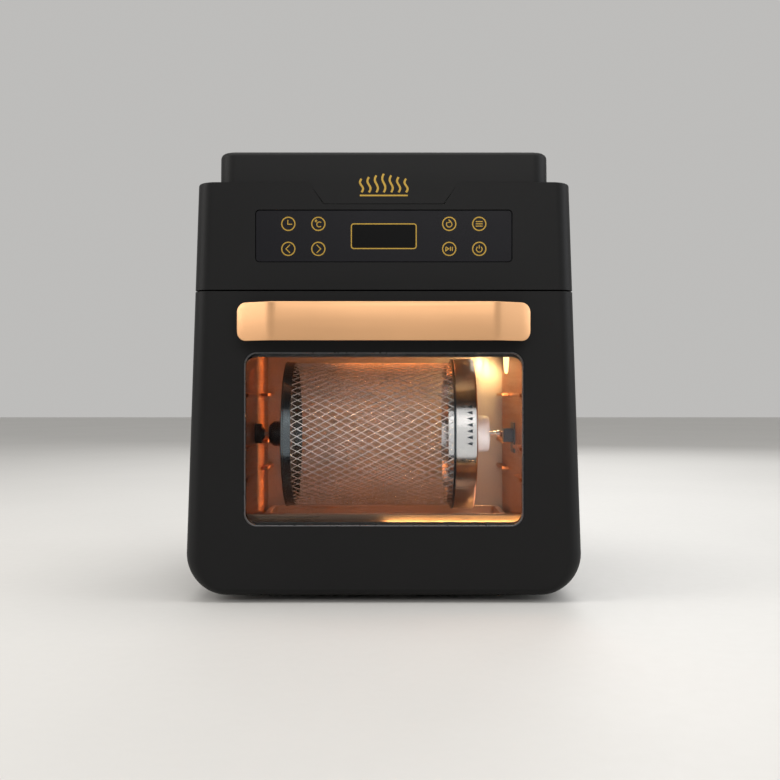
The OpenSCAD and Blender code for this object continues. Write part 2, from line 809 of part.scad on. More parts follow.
module switch_body() {
    color([0.12, 0.12, 0.14]) difference() {
        block(plunger_x - 6, plunger_x + 6, panel_d0 + sheet, panel_d0 + 16, plunger_z - 14, plunger_z + 6);
        bar_d(plunger_r + 0.05, panel_d0, panel_d0 + 10, plunger_x, plunger_z);
    }
}

module switch_plunger() {
    color([0.7, 0.15, 0.1]) bar_d(plunger_r, door_t - 0.7, panel_d0 + 6, plunger_x, plunger_z);
}

module door_magnets() {
    color([0.75, 0.75, 0.77]) both_sides() block(133, 147, panel_d0 - 1.4, panel_d0, 238, 254);
}

// Ear at each side of the base that holds a hinge pin
module hinge_brackets() {
    half = ear_t / 2;
    color([0.6, 0.6, 0.62]) both_sides() difference() {
        union() {
            bar_x(ear_r, hinge_x - half, hinge_x + half, hinge_d, hinge_z);
            sideways([[hinge_d, hinge_z - 5], [36, hinge_z - 5], [36, foot_gap + wall], [58, foot_gap + wall],
                [58, 12], [44, hinge_z + 5], [hinge_d, hinge_z + 5]], hinge_x - half, hinge_x + half);
            block(hinge_x - 10, hinge_x + 10, 36, 58, foot_gap + wall, foot_gap + wall + 1.5);
        }
        bar_x(hinge_bore_r, hinge_x - 10, hinge_x + 10, hinge_d, hinge_z);
    }
}

// ---- door ----

door_z1 = seam_z - seam_gap / 2;

// Side view of the door: the lower back edge is an arc about the hinge axis
function door_side(inset, back) = let (r = door_sweep_r - inset, end = acos(min(1, (back - hinge_d) / r))) concat(
    [[inset, foot_gap + inset]], arc([hinge_d, hinge_z], r, -90, -end, 8),
    [[back, door_z1 - inset], [inset, door_z1 - inset]]);

module door_shell() {
    color([0.14, 0.14, 0.14]) difference() {
        union() {
            difference() {
                intersection() {
                    rounded_front(foot_gap, door_z1, door_t);
                    sideways(door_side(0, door_t), -body_w, body_w);
                }
                intersection() {
                    rounded_front(foot_gap, door_z1 - wall, door_t + 1, wall);
                    sideways(concat(arc([hinge_d, hinge_z], door_sweep_r - wall, -90, 0, 8),
                        [[hinge_d + 20, hinge_z], [hinge_d + 20, door_z1], [wall, door_z1],
                            [wall, foot_gap + wall]]), -body_w, body_w);
                }
            }
            for (x = [-138, 138]) for (z = [60, 150, 250]) bar_d(4, wall - 0.5, inner_frame_d, x, z);
        }
        upright(shifted(rounded_rect(window_w, window_h, window_r), [0, window_z]), -1, wall + 1);
        for (side = [-1, 1])
            block(side * hinge_x - ear_t / 2 - 1, side * hinge_x + ear_t / 2 + 1, 5, door_t + 4, 0, hinge_z + 1);
    }
}

module door_glass() {
    color([0.3, 0.3, 0.32, 0.3]) upright(shifted(rounded_rect(window_w + 2 * pane_lap, window_h + 2 * pane_lap,
        window_r), [0, window_z]), wall, wall + glass_t);
}

module window_trim() {
    color([0.4, 0.4, 0.42]) difference() {
        upright(shifted(rounded_rect(window_w - 0.1, window_h - 0.1, window_r), [0, window_z]), 0.8, wall);
        upright(shifted(rounded_rect(window_w - 4, window_h - 4, window_r - 2), [0, window_z]), 0, wall + 1);
    }
}

module window_tunnel() {
    d0 = wall + glass_t;
    color([0.08, 0.08, 0.08]) difference() {
        upright(shifted(rounded_rect(window_w + 8, window_h + 8, window_r + 4), [0, window_z]), d0, inner_glass_d);
        upright(shifted(rounded_rect(window_w + 2, window_h + 2, window_r + 1), [0, window_z]), d0 - 1, door_t);
    }
}

module door_inner_frame() {
    color([0.35, 0.35, 0.36]) difference() {
        upright([[half_w(44) - 5, 44], [half_w(256) - 5, 256], [5 - half_w(256), 256], [5 - half_w(44), 44]],
            inner_frame_d, inner_frame_d + 1);
        upright(shifted(rounded_rect(window_w + 3.6, window_h - 4.2, window_r - 2), [0, window_z - 1.3]),
            inner_frame_d - 1, door_t);
    }
}

module door_inner_glass() {
    color([0.5, 0.5, 0.5, 0.3]) upright(shifted(rounded_rect(window_w + 8, window_h + 8, window_r), [0, window_z]),
        inner_glass_d, inner_frame_d - 0.1);
}

// Plan of the handle front: flat in the middle, swept back towards the door at both ends
function handle_plan(front, back) = let (x = handle_w / 2, flat_x = x - handle_end_w) [
    [-x, front + handle_sweep - handle_reach], [-flat_x, front - handle_reach], [flat_x, front - handle_reach],
    [x, front + handle_sweep - handle_reach], [x, back + handle_sweep - handle_reach],
    [flat_x, back - handle_reach], [-flat_x, back - handle_reach], [-x, back + handle_sweep - handle_reach]];

module handle_bar() {
    color([0.84, 0.6, 0.42]) intersection() {
        flat(handle_plan(0, bar_t), handle_z - handle_h / 2, handle_z + handle_h / 2);
        upright(shifted(rounded_rect(handle_w, handle_h, 7.5), [0, handle_z]), -handle_reach - 1, 0);
    }
}

module handle_grip() {
    h = handle_h / 2 - 2;
    x = handle_w / 2 - 2;
    color([0.1, 0.1, 0.1]) {
        intersection() {
            flat(handle_plan(bar_t, bar_t + grip_t), handle_z - h, handle_z + h);
            upright(shifted(rounded_rect(2 * x, 2 * h, 6), [0, handle_z]), -handle_reach, 0);
        }
        both_sides() block(x - post_w, x, handle_sweep + bar_t + grip_t - handle_reach - 2, 0,
            handle_z - h + 3, handle_z + h - 3);
    }
}

module hinge_blocks() {
    half = ear_t / 2 + 1;
    color([0.5, 0.5, 0.52]) both_sides() for (x = [hinge_x - half - 7, hinge_x + half]) difference() {
        block(x, x + 7, wall, hinge_d + 7, hinge_z - 7, hinge_z + 7);
        bar_x(hinge_pin_r + 0.02, x - 1, x + 8, hinge_d, hinge_z);
    }
}

module hinge_pins() {
    color([0.8, 0.8, 0.82]) both_sides() bar_x(hinge_pin_r, hinge_x - 11, hinge_x + 11, hinge_d, hinge_z);
}

front_housing();
top_cap();
left_side_panel();
right_side_panel();
rear_cover();
base_tray();
feet();
rear_spacers();
housing_screws();
cable_gland();
touch_panel();
display_module();
control_board();
power_board();
cavity_left_wall();
cavity_right_wall();
cavity_back_wall();
cavity_floor();
cavity_ceiling();
cavity_front_frame();
door_seal();
insulation();
drip_tray();
exhaust_duct();
heating_element();
heater_shroud();
fan_guard();
temperature_sensor();
thermal_cutout();
motor_bridge();
motor_stator();
motor_coil();
motor_brackets();
motor_bushes();
rotisserie_motor();
shaft_cradle();
lamp_holder();
lamp_bulb();
lamp_lens();
switch_body();
door_magnets();
hinge_brackets();
door_shell();
door_glass();
window_trim();
window_tunnel();
door_inner_frame();
door_inner_glass();
handle_bar();
handle_grip();
hinge_blocks();
hinge_pins();
fan_rotor();
convection_fan();
cooling_fan();
drive_socket();
basket_mesh();
basket_ends();
basket_lid();
switch_plunger();
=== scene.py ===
import bpy
import bmesh
import json
import math
from mathutils import Matrix, Vector


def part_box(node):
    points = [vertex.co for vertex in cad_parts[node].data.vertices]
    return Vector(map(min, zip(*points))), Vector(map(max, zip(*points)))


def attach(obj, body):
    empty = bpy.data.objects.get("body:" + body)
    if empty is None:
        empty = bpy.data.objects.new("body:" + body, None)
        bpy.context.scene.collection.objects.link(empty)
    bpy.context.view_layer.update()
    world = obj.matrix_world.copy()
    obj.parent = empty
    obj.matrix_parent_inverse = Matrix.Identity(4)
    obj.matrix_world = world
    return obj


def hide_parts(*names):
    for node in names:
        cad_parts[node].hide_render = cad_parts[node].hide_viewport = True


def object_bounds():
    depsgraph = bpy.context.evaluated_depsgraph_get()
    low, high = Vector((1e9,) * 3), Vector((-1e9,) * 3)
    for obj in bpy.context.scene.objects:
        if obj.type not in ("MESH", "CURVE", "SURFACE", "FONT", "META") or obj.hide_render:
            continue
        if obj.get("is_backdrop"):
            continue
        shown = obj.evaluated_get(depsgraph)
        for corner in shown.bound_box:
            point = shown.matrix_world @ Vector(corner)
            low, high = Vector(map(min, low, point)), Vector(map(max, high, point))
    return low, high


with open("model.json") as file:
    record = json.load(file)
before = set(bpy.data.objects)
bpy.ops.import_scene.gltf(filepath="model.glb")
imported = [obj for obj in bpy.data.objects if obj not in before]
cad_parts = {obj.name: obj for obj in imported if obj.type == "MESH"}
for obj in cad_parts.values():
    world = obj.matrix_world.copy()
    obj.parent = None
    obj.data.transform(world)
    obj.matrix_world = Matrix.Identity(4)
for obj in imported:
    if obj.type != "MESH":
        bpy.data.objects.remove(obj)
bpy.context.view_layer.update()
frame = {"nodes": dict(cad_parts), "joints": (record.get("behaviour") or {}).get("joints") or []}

# Lengths below are in millimetres. A place is (x, depth, z), where depth runs back from the door's face.
mm = 0.001
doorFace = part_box("door_shell")[0].y
scene = bpy.context.scene


def place(x, depth, z):
    return Vector((x * mm, doorFace + depth * mm, z * mm))


def span(node):
    # a node's box as (x0, x1), (depth0, depth1), (z0, z1) in millimetres
    low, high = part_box(node)
    return (
        (low.x / mm, high.x / mm),
        ((low.y - doorFace) / mm, (high.y - doorFace) / mm),
        (low.z / mm, high.z / mm),
    )


def middle(pair):
    return (pair[0] + pair[1]) / 2


# Camera and lights

view = {"distance": 0.9, "height": 0.1783, "sideways": 0.0052, "lens": 49.72}

camera = bpy.data.objects.new("camera", bpy.data.cameras.new("camera"))
camera.data.lens = view["lens"]
camera.data.sensor_width = 36
camera.data.clip_start = 0.02
camera.location = (view["sideways"], doorFace - view["distance"], view["height"])
camera.rotation_euler = (math.radians(90), 0, 0)
scene.collection.objects.link(camera)
scene.camera = camera
scene.view_settings.view_transform = "Standard"
scene.view_settings.look = "None"

# name: position, target, width, height, watts, colour
softLights = {
    "softTop": ((0.0, -0.2, 1.7), (0, 0, 0.2), 1.6, 1.2, 15, (1, 0.98, 0.95)),
    "softLeft": ((-1.5, -0.5, 0.9), (0, 0, 0.2), 0.9, 1.3, 12, (1, 0.97, 0.94)),
    "softRight": ((1.5, -0.3, 0.8), (0, 0, 0.2), 0.9, 1.3, 10, (0.95, 0.97, 1)),
    "softFront": ((0.3, -2.6, 1.3), (0, 0, 0.2), 1.4, 0.9, 16, (1, 0.98, 0.96)),
    "softBack": ((0.4, 1.9, 1.2), (0, 0, 0.2), 1.2, 0.9, 14, (1, 1, 1)),
}


def makeSoftLight(name, position, target, width, height, watts, colour):
    lamp = bpy.data.lights.new(name, "AREA")
    lamp.shape = "RECTANGLE"
    lamp.size = width
    lamp.size_y = height
    lamp.energy = watts
    lamp.color = colour
    holder = bpy.data.objects.new(name, lamp)
    holder.location = position
    aim = Vector(target) - Vector(position)
    holder.rotation_euler = aim.to_track_quat("-Z", "Y").to_euler()
    scene.collection.objects.link(holder)


for lightName, settings in softLights.items():
    makeSoftLight(lightName, *settings)

# The oven's own glow. name: place, target, width, height, watts, colour, beam angle
ovenLights = {
    "lampGlow": ((112, 200, 205), (20, 240, 110), 26, 26, 0.2, (1.0, 0.72, 0.34), 170),
    "rightGlow": ((80, 96, 200), (125, 80, 120), 40, 40, 0.16, (1.0, 0.36, 0.12), 150),
    "rightFill": ((106, 62, 112), (106, 245, 100), 14, 60, 0.1, (1.0, 0.9, 0.82), 110),
    "backRight": ((112, 156, 108), (110, 245, 96), 16, 90, 0.05, (1.0, 0.88, 0.8), 150),
    "leftGlow": ((-111, 205, 140), (-125, 205, 140), 10, 170, 0.1, (1.0, 0.4, 0.12), 150),
    "leftWash": ((-104, 110, 190), (-125, 120, 120), 30, 60, 0.05, (1.0, 0.26, 0.08), 170),
    "backLeft": ((-110, 150, 95), (-106, 245, 85), 12, 60, 0.02, (0.74, 0.94, 1.0), 150),
    "heaterGlow": ((10, 150, 226), (10, 170, 100), 110, 60, 0.12, (1.0, 0.3, 0.08), 160),
    "drumGlow": ((5, 110, 150), (5, 245, 165), 150, 90, 0.65, (1.0, 0.33, 0.04), 160),
    "lidTop": ((103, 172, 238), (103, 150, 100), 30, 90, 0.014, (1.0, 0.97, 0.85), 170),
    "lidBottom": ((103, 120, 62), (103, 150, 200), 30, 60, 0.016, (1.0, 0.42, 0.26), 170),
    "trayGlow": ((62, 29.5, 60), (62, 40, 70), 120, 6, 0.12, (1.0, 0.66, 0.28), 170),
    "drumFill": ((12, 54, 142), (12, 100, 142), 236, 80, 0.12, (0.97, 0.98, 1.0), 180),
}
# these would show as hard patches in the polished lid and rim
hiddenInMirrors = ("rightGlow", "drumGlow", "leftWash", "backLeft", "backRight", "rightFill")
for lightName, (spot, target, width, height, watts, colour, beam) in ovenLights.items():
    makeSoftLight(lightName, place(*spot), place(*target), width * mm, height * mm, watts, colour)
    bpy.data.lights[lightName].spread = math.radians(beam)
    bpy.data.objects[lightName].visible_camera = False
    bpy.data.objects[lightName].visible_glossy = lightName not in hiddenInMirrors

world = bpy.data.worlds.new("studio")
scene.world = world
world.use_nodes = True
world.node_tree.nodes["Background"].inputs["Color"].default_value = (0.93, 0.92, 0.9, 1)
world.node_tree.nodes["Background"].inputs["Strength"].default_value = 0.55


# Materials


def newMaterial(name):
    material = bpy.data.materials.new(name)
    material.use_nodes = True
    nodes = material.node_tree.nodes
    return material, nodes, material.node_tree.links, nodes["Principled BSDF"]


def stretchedNoise(nodes, links, scale, stretch, detail=4):
    # noise in the object's own space, drawn out along the axes with a low stretch
    coordinates = nodes.new("ShaderNodeTexCoord")
    mapping = nodes.new("ShaderNodeMapping")
    mapping.inputs["Scale"].default_value = stretch
    noise = nodes.new("ShaderNodeTexNoise")
    noise.inputs["Scale"].default_value = scale
    noise.inputs["Detail"].default_value = detail
    links.new(coordinates.outputs["Object"], mapping.inputs["Vector"])
    links.new(mapping.outputs["Vector"], noise.inputs["Vector"])
    return noise.outputs["Fac"]


def spreadValue(nodes, links, source, low, high):
    spread = nodes.new("ShaderNodeMapRange")
    spread.inputs["From Min"].default_value = 0.3
    spread.inputs["From Max"].default_value = 0.7
    spread.inputs["To Min"].default_value = low
    spread.inputs["To Max"].default_value = high
    links.new(source, spread.inputs["Value"])
    return spread.outputs["Result"]


def blendColours(nodes, links, source, first, second):
    ramp = nodes.new("ShaderNodeValToRGB")
    ramp.color_ramp.elements[0].position = 0.3
    ramp.color_ramp.elements[0].color = (*first, 1)
    ramp.color_ramp.elements[1].position = 0.7
    ramp.color_ramp.elements[1].color = (*second, 1)
    links.new(source, ramp.inputs["Fac"])
    return ramp.outputs["Color"]


def finishMaterial(
    name,
    colour,
    roughness,
    metallic=0.0,
    tint=0.08,
    rough=0.05,
    patches=14,
    grain=900,
    stretch=(1, 1, 1),
    bump=0.05,
    specular=0.5,
    coat=0.0,
    other=None,
):
    # one finish: colour drifts in soft patches, roughness and bump follow a fine grain
    material, nodes, links, shader = newMaterial(name)
    drift = stretchedNoise(nodes, links, patches, (1, 1, 1), 3)
    second = other or tuple(channel * (1 + tint) for channel in colour)
    first = tuple(channel * (1 - tint) for channel in colour)
    links.new(blendColours(nodes, links, drift, first, second), shader.inputs["Base Color"])
    fine = stretchedNoise(nodes, links, grain, stretch, 5)
    roughOut = spreadValue(nodes, links, fine, roughness - rough, roughness + rough)
    links.new(roughOut, shader.inputs["Roughness"])
    relief = nodes.new("ShaderNodeBump")
    relief.inputs["Strength"].default_value = bump
    relief.inputs["Distance"].default_value = 0.0002
    links.new(fine, relief.inputs["Height"])
    links.new(relief.outputs["Normal"], shader.inputs["Normal"])
    shader.inputs["Metallic"].default_value = metallic
    shader.inputs["Specular IOR Level"].default_value = specular
    shader.inputs["Coat Weight"].default_value = coat
    shader.inputs["Coat Roughness"].default_value = 0.12
    return material


def glassMaterial(name, tint, mirror, roughness=0.015):
    # thin pane: lets most light straight through and mirrors more at a glancing angle
    material, nodes, links, shader = newMaterial(name)
    nodes.remove(shader)
    clear = nodes.new("ShaderNodeBsdfTransparent")
    clear.inputs["Color"].default_value = (*tint, 1)
    gloss = nodes.new("ShaderNodeBsdfGlossy")
    smear = stretchedNoise(nodes, links, 30, (1, 1, 3), 3)
    links.new(spreadValue(nodes, links, smear, roughness, roughness * 3), gloss.inputs["Roughness"])
    facing = nodes.new("ShaderNodeFresnel")
    facing.inputs["IOR"].default_value = mirror
    mix = nodes.new("ShaderNodeMixShader")
    links.new(facing.outputs["Fac"], mix.inputs["Fac"])
    links.new(clear.outputs["BSDF"], mix.inputs[1])
    links.new(gloss.outputs["BSDF"], mix.inputs[2])
    links.new(mix.outputs["Shader"], nodes["Material Output"].inputs["Surface"])
    return material


def glowMaterial(name, colour, light, strength, roughness=0.3):
    material = finishMaterial(name, colour, roughness)
    shader = material.node_tree.nodes["Principled BSDF"]
    shader.inputs["Emission Color"].default_value = (*light, 1)
    shader.inputs["Emission Strength"].default_value = strength
    return material


# name: colour, roughness, and whatever differs from the usual finish
finishSettings = {
    "shellBlack": ((0.0042, 0.0042, 0.0045), 0.5, {"specular": 0.2, "grain": 2600, "bump": 0.12}),
    "capBlack": ((0.006, 0.006, 0.0063), 0.5, {"specular": 0.19, "grain": 2600, "bump": 0.12}),
    "darkPlastic": ((0.009, 0.009, 0.0095), 0.5, {"grain": 1800, "bump": 0.2}),
    "panelGlass": (
        (0.0046, 0.0045, 0.0068),
        0.36,
        {"rough": 0.03, "grain": 60, "bump": 0.0, "specular": 0.16},
    ),
    "displayBlack": (
        (0.0022, 0.0022, 0.0024),
        0.36,
        {"rough": 0.03, "grain": 60, "bump": 0.0, "specular": 0.08},
    ),
    "goldPrint": ((0.42, 0.26, 0.03), 0.42, {"metallic": 0.35, "grain": 1500}),
    "copperSatin": (
        (0.72, 0.4, 0.2),
        0.38,
        {"metallic": 0.8, "tint": 0.03, "grain": 420, "stretch": (0.02, 1, 1), "bump": 0.03},
    ),
    "polishedSteel": (
        (0.72, 0.71, 0.69),
        0.17,
        {"metallic": 1, "grain": 700, "stretch": (1, 0.06, 0.06), "bump": 0.03},
    ),
    "meshSteel": ((0.8, 0.79, 0.77), 0.26, {"metallic": 1, "tint": 0.15, "patches": 60, "grain": 1200}),
    "glossBlack": ((0.006, 0.006, 0.006), 0.16, {"rough": 0.04, "grain": 300, "bump": 0.02}),
    "hubDark": ((0.008, 0.014, 0.022), 0.3, {"grain": 900, "specular": 0.6}),
    "lidSteel": (
        (0.68, 0.66, 0.63),
        0.2,
        {"metallic": 1, "grain": 600, "stretch": (1, 0.04, 0.04), "bump": 0.02},
    ),
    "darkSteel": ((0.045, 0.055, 0.065), 0.33, {"metallic": 0.6, "grain": 900}),
    "hubGrey": ((0.4, 0.41, 0.43), 0.42, {"grain": 1500, "bump": 0.1}),
    "rimDark": ((0.1, 0.115, 0.12), 0.22, {"metallic": 0.9, "grain": 500, "stretch": (1, 0.08, 0.08)}),
    "lineSteel": ((0.14, 0.14, 0.145), 0.3, {"metallic": 0.9, "grain": 500}),
    "cavitySteel": (
        (0.5, 0.42, 0.36),
        0.38,
        {
            "metallic": 0.8, "rough": 0.09, "patches": 9, "grain": 260,
            "stretch": (1, 1, 0.03), "bump": 0.12, "other": (0.54, 0.43, 0.34),
        },
    ),
    # the side walls: the same cavity steel, with the orange glow of the oven's light painted into its colour
    "warmSteel": (
        (0.56, 0.22, 0.1),
        0.36,
        {
            "metallic": 0.85, "rough": 0.08, "patches": 9, "grain": 260,
            "stretch": (1, 0.05, 1), "bump": 0.12, "other": (0.6, 0.26, 0.12),
        },
    ),
    # the tray's steel, with a copper tint painted in as the reflection of the orange-lit cavity
    "traySteel": (
        (0.72, 0.47, 0.33),
        0.3,
        {"metallic": 0.9, "patches": 20, "grain": 300, "stretch": (0.03, 1, 1), "bump": 0.1},
    ),
    "zincSheet": ((0.42, 0.43, 0.44), 0.42, {"metallic": 0.9, "tint": 0.14, "patches": 120, "grain": 500}),
    "aluminium": ((0.66, 0.66, 0.68), 0.32, {"metallic": 1, "patches": 40, "grain": 600}),
    "insulationWool": ((0.6, 0.56, 0.44), 0.95, {"tint": 0.2, "grain": 300, "bump": 1.0}),
    "siliconeGrey": ((0.035, 0.035, 0.036), 0.62, {"grain": 1200, "bump": 0.2}),
    "footRubber": ((0.012, 0.012, 0.012), 0.75, {"grain": 1200, "bump": 0.4}),
    "boardGreen": ((0.012, 0.09, 0.035), 0.4, {"tint": 0.25, "patches": 260, "grain": 800}),
    "copperWire": (
        (0.5, 0.2, 0.06),
        0.3,
        {"metallic": 0.9, "grain": 900, "stretch": (1, 1, 0.05), "bump": 0.6},
    ),
    "bronze": ((0.5, 0.32, 0.14), 0.4, {"metallic": 0.9, "grain": 700}),
    "ceramic": ((0.7, 0.68, 0.62), 0.35, {"grain": 700}),
    "switchRed": ((0.4, 0.03, 0.02), 0.35, {"grain": 900}),
}
# name: colour, colour of the light, strength[, roughness]
glowSettings = {
    "elementSteel": ((0.09, 0.075, 0.07), (1.0, 0.22, 0.04), 0.35, 0.5),
    "lampGlass": ((0.9, 0.75, 0.5), (1.0, 0.66, 0.27), 5.5),
    "bulbGlass": ((0.95, 0.85, 0.7), (1.0, 0.72, 0.4), 6.0),
}
finishes = {}
for name, (colour, roughness, differences) in finishSettings.items():
    finishes[name] = finishMaterial(name, colour, roughness, **differences)
for name, settings in glowSettings.items():
    finishes[name] = glowMaterial(name, *settings)
finishes["doorGlass"] = glassMaterial("doorGlass", (0.8, 0.8, 0.8), 1.16)
print("materials made:", len(finishes))


# Mesh tools


def linkPiece(name, mesh, finish, body, nodes=()):
    piece = bpy.data.objects.new(name, mesh)
    scene.collection.objects.link(piece)
    piece.data.materials.append(finishes[finish])
    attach(piece, body)
    if nodes:
        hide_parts(*nodes)
    return piece


def toMesh(bm, name, sharpAngle=32):
    bmesh.ops.recalc_face_normals(bm, faces=bm.faces)
    for face in bm.faces:
        face.smooth = True
    for edge in bm.edges:
        edge.smooth = not edge.is_manifold or edge.calc_face_angle(0) < math.radians(sharpAngle)
    mesh = bpy.data.meshes.new(name)
    bm.to_mesh(mesh)
    bm.free()
    return mesh


def addRing(bm, points):
    return [bm.verts.new(place(*point)) for point in points]


def bridge(bm, first, second, closed=True):
    count = len(first)
    for i in range(count if closed else count - 1):
        j = (i + 1) % count
        quad = [first[i], first[j], second[j], second[i]]
        corners = []
        for vert in quad:
            if vert not in corners:
                corners.append(vert)
        if len(corners) > 2:
            bm.faces.new(corners)


def loftInto(bm, rings, capEnds=True, closedRound=False):
    rows = [addRing(bm, ring) for ring in rings]
    for first, second in zip(rows, rows[1:]):
        bridge(bm, first, second)
    if closedRound:
        bridge(bm, rows[-1], rows[0])
    elif capEnds:
        bm.faces.new(rows[0])
        bm.faces.new(list(reversed(rows[-1])))
    return rows


def loftMesh(name, rings, capEnds=True, closedRound=False):
    bm = bmesh.new()
    loftInto(bm, rings, capEnds, closedRound)
    return toMesh(bm, name)


def turnedRings(profile, axis, centre, steps, start=0.0, sweep=360.0):
    # rings of a turned part. Each profile point is (along the axis, radius).
    rings = []
    for i in range(steps):
        angle = math.radians(start + sweep * i / steps)
        ring = []
        for along, radius in profile:
            side = radius * math.cos(angle)
            up = radius * math.sin(angle)
            if axis == "x":
                ring.append((along, centre[1] + side, centre[2] + up))
            elif axis == "depth":
                ring.append((centre[0] + side, along, centre[2] + up))
            else:
                ring.append((centre[0] + side, centre[1] + up, along))
        rings.append(ring)
    return rings


def turnedInto(bm, profile, axis, centre, steps=64):
    # the profile is a closed loop, and points on the axis are merged afterwards
    loftInto(bm, turnedRings(profile, axis, centre, steps), closedRound=True)
    bmesh.ops.remove_doubles(bm, verts=bm.verts, dist=1e-6)
    bad = [face for face in bm.faces if face.calc_area() < 1e-12]
    bmesh.ops.delete(bm, geom=bad, context="FACES_ONLY")


def turnedMesh(name, profile, axis, centre, steps=64):
    bm = bmesh.new()
    turnedInto(bm, profile, axis, centre, steps)
    return toMesh(bm, name)


def filletCorner(corner, before, after, radius, steps=4):
    # points of a small round between two straight runs of a profile
    toBefore = (Vector(before) - Vector(corner)).normalized()
    toAfter = (Vector(after) - Vector(corner)).normalized()
    points = []
    for i in range(steps + 1):
        t = i / steps
        first = Vector(corner) + toBefore * radius * (1 - t) ** 2
        points.append(tuple(first + toAfter * radius * t**2))
    return points


def softProfile(points, radii):
    # a closed profile whose corners are rounded by the radius listed for each
    result = []
    count = len(points)
    for i, (point, radius) in enumerate(zip(points, radii)):
        if radius:
            result += filletCorner(point, points[i - 1], points[(i + 1) % count], radius)
        else:
            result.append(point)
    return result


def roundedLoop(width, height, radius, steps=8, centre=(0, 0)):
    # a rounded rectangle in two dimensions, anticlockwise
    points = []
    corners = ((1, -1, -90), (1, 1, 0), (-1, 1, 90), (-1, -1, 180))
    for sideX, sideY, start in corners:
        cx = centre[0] + sideX * (width / 2 - radius)
        cy = centre[1] + sideY * (height / 2 - radius)
        for i in range(steps + 1):
            angle = math.radians(start + 90 * i / steps)
            points.append((cx + radius * math.cos(angle), cy + radius * math.sin(angle)))
    return points


def prismMesh(name, outline, start, end, direction="depth"):
    # a flat outline pushed from start to end along the depth, along x or upwards
    makers = {
        "depth": lambda p, t: (p[0], t, p[1]),
        "x": lambda p, t: (t, p[0], p[1]),
        "z": lambda p, t: (p[0], p[1], t),
    }
    make = makers[direction]
    return loftMesh(name, [[make(p, start) for p in outline], [make(p, end) for p in outline]])


def joinMeshes(name, meshes):
    bm = bmesh.new()
    for mesh in meshes:
        bm.from_mesh(mesh)
        bpy.data.meshes.remove(mesh)
    joined = bpy.data.meshes.new(name)
    bm.to_mesh(joined)
    bm.free()
    return joined


def combine(piece, meshes, operation="DIFFERENCE"):
    # cuts the meshes out of a piece, or welds them on, for good
    tool = bpy.data.objects.new("tool", joinMeshes("tool", meshes))
    scene.collection.objects.link(tool)
    cut = piece.modifiers.new("combine", "BOOLEAN")
    cut.operation = operation
    cut.solver = "EXACT"
    cut.object = tool
    cut.use_self = True
    bpy.context.view_layer.update()
    graph = bpy.context.evaluated_depsgraph_get()
    result = bpy.data.meshes.new_from_object(piece.evaluated_get(graph))
    piece.modifiers.clear()
    piece.data = result
    bpy.data.objects.remove(tool)


def roundEdges(piece, width, segments=3, angle=32):
    # rounds every sharp edge and keeps the flats flat
    bevel = piece.modifiers.new("roundEdges", "BEVEL")
    bevel.width = width * mm
    bevel.segments = segments
    bevel.limit_method = "ANGLE"
    bevel.angle_limit = math.radians(angle)
    bevel.use_clamp_overlap = True
    bevel.harden_normals = True
    for polygon in piece.data.polygons:
        polygon.use_smooth = True
    weigh = piece.modifiers.new("evenNormals", "WEIGHTED_NORMAL")
    weigh.keep_sharp = True


def slotCutters(centres, length, width, start, end, direction="depth"):
    # round-ended slots, each standing upright in the outline's second axis
    cutters = []
    for centre in centres:
        outline = roundedLoop(width, length, width / 2 - 0.01, 6, centre)
        cutters.append(prismMesh("cutter", outline, start, end, direction))
    return cutters


# Outline of the body, shared by the door, the head, the sides and the back

outlineDesign = {"cornerRadius": 35, "edgeRadius": 14, "wall": 3, "bottomSoftness": 7}

doorSpan = span("door_shell")
housingSpan = span("front_housing")
hipHalf = doorSpan[0][1]
footGap = doorSpan[2][0]
hipZ = footGap + outlineDesign["cornerRadius"]
sideLean = (hipHalf - housingSpan[0][1]) / (housingSpan[2][0] - hipZ)


def halfWidth(z):
    return hipHalf - sideLean * (z - hipZ)


def bodyLoop(z0, z1, thickness=0.0, drawX=0.0, drawZ=0.0, steps=16):
    # front view of the body from z0 to z1, moved in by thickness and by a further draw across and up
    radius = outlineDesign["cornerRadius"]
    right = []
    if z0 < hipZ:
        cx = halfWidth(hipZ) - radius
        for i in range(steps + 1):
            angle = math.radians(-90 + 90 * i / steps)
            outX = math.cos(angle)
            outZ = math.sin(angle)
            x = cx + (radius - thickness) * outX - drawX * outX
            right.append((x, hipZ + (radius - thickness) * outZ - drawZ * outZ))
    else:
        right.append((halfWidth(z0) - thickness - drawX, z0))
    right.append((halfWidth(z1) - thickness - drawX, z1))
    left = [(-x, z) for x, z in reversed(right)]
    return right + left


def bodyRings(z0, z1, start, end, thickness=0.0, drawBottom=True, floorAt=None, steps=8):
    # the body shape with rounded upright edges near depth start, run to depth end, which may be ahead of it
    edge = outlineDesign["edgeRadius"] - thickness
    soft = max(outlineDesign["bottomSoftness"] - thickness, 1) if drawBottom else 0
    ahead = 1 if end > start else -1
    rings = []
    depths = []
    for i in range(steps + 1):
        angle = math.radians(90 * i / steps)
        inward = 1 - math.sin(angle)
        depths.append((start + ahead * edge * (1 - math.cos(angle)), edge * inward, soft * inward))
    extra = 6 if floorAt else 1
    last = depths[-1][0]
    for i in range(1, extra + 1):
        depths.append((last + (end - last) * i / extra, 0, 0))
    for depth, drawX, drawZ in depths:
        loop = bodyLoop(z0, z1, thickness, drawX, drawZ)
        if floorAt:
            loop = [(x, max(z, floorAt(depth))) for x, z in loop]
        rings.append([(x, depth, z) for x, z in loop])
    return rings


def makePiece(name, mesh, finish, body, nodes=(), cut=(), edge=0.5):
    # links a mesh, cuts it, and rounds its edges by edge millimetres
    piece = linkPiece(name, mesh, finish, body, nodes)
    if cut:
        combine(piece, cut)
    if edge:
        roundEdges(piece, edge)
    return piece


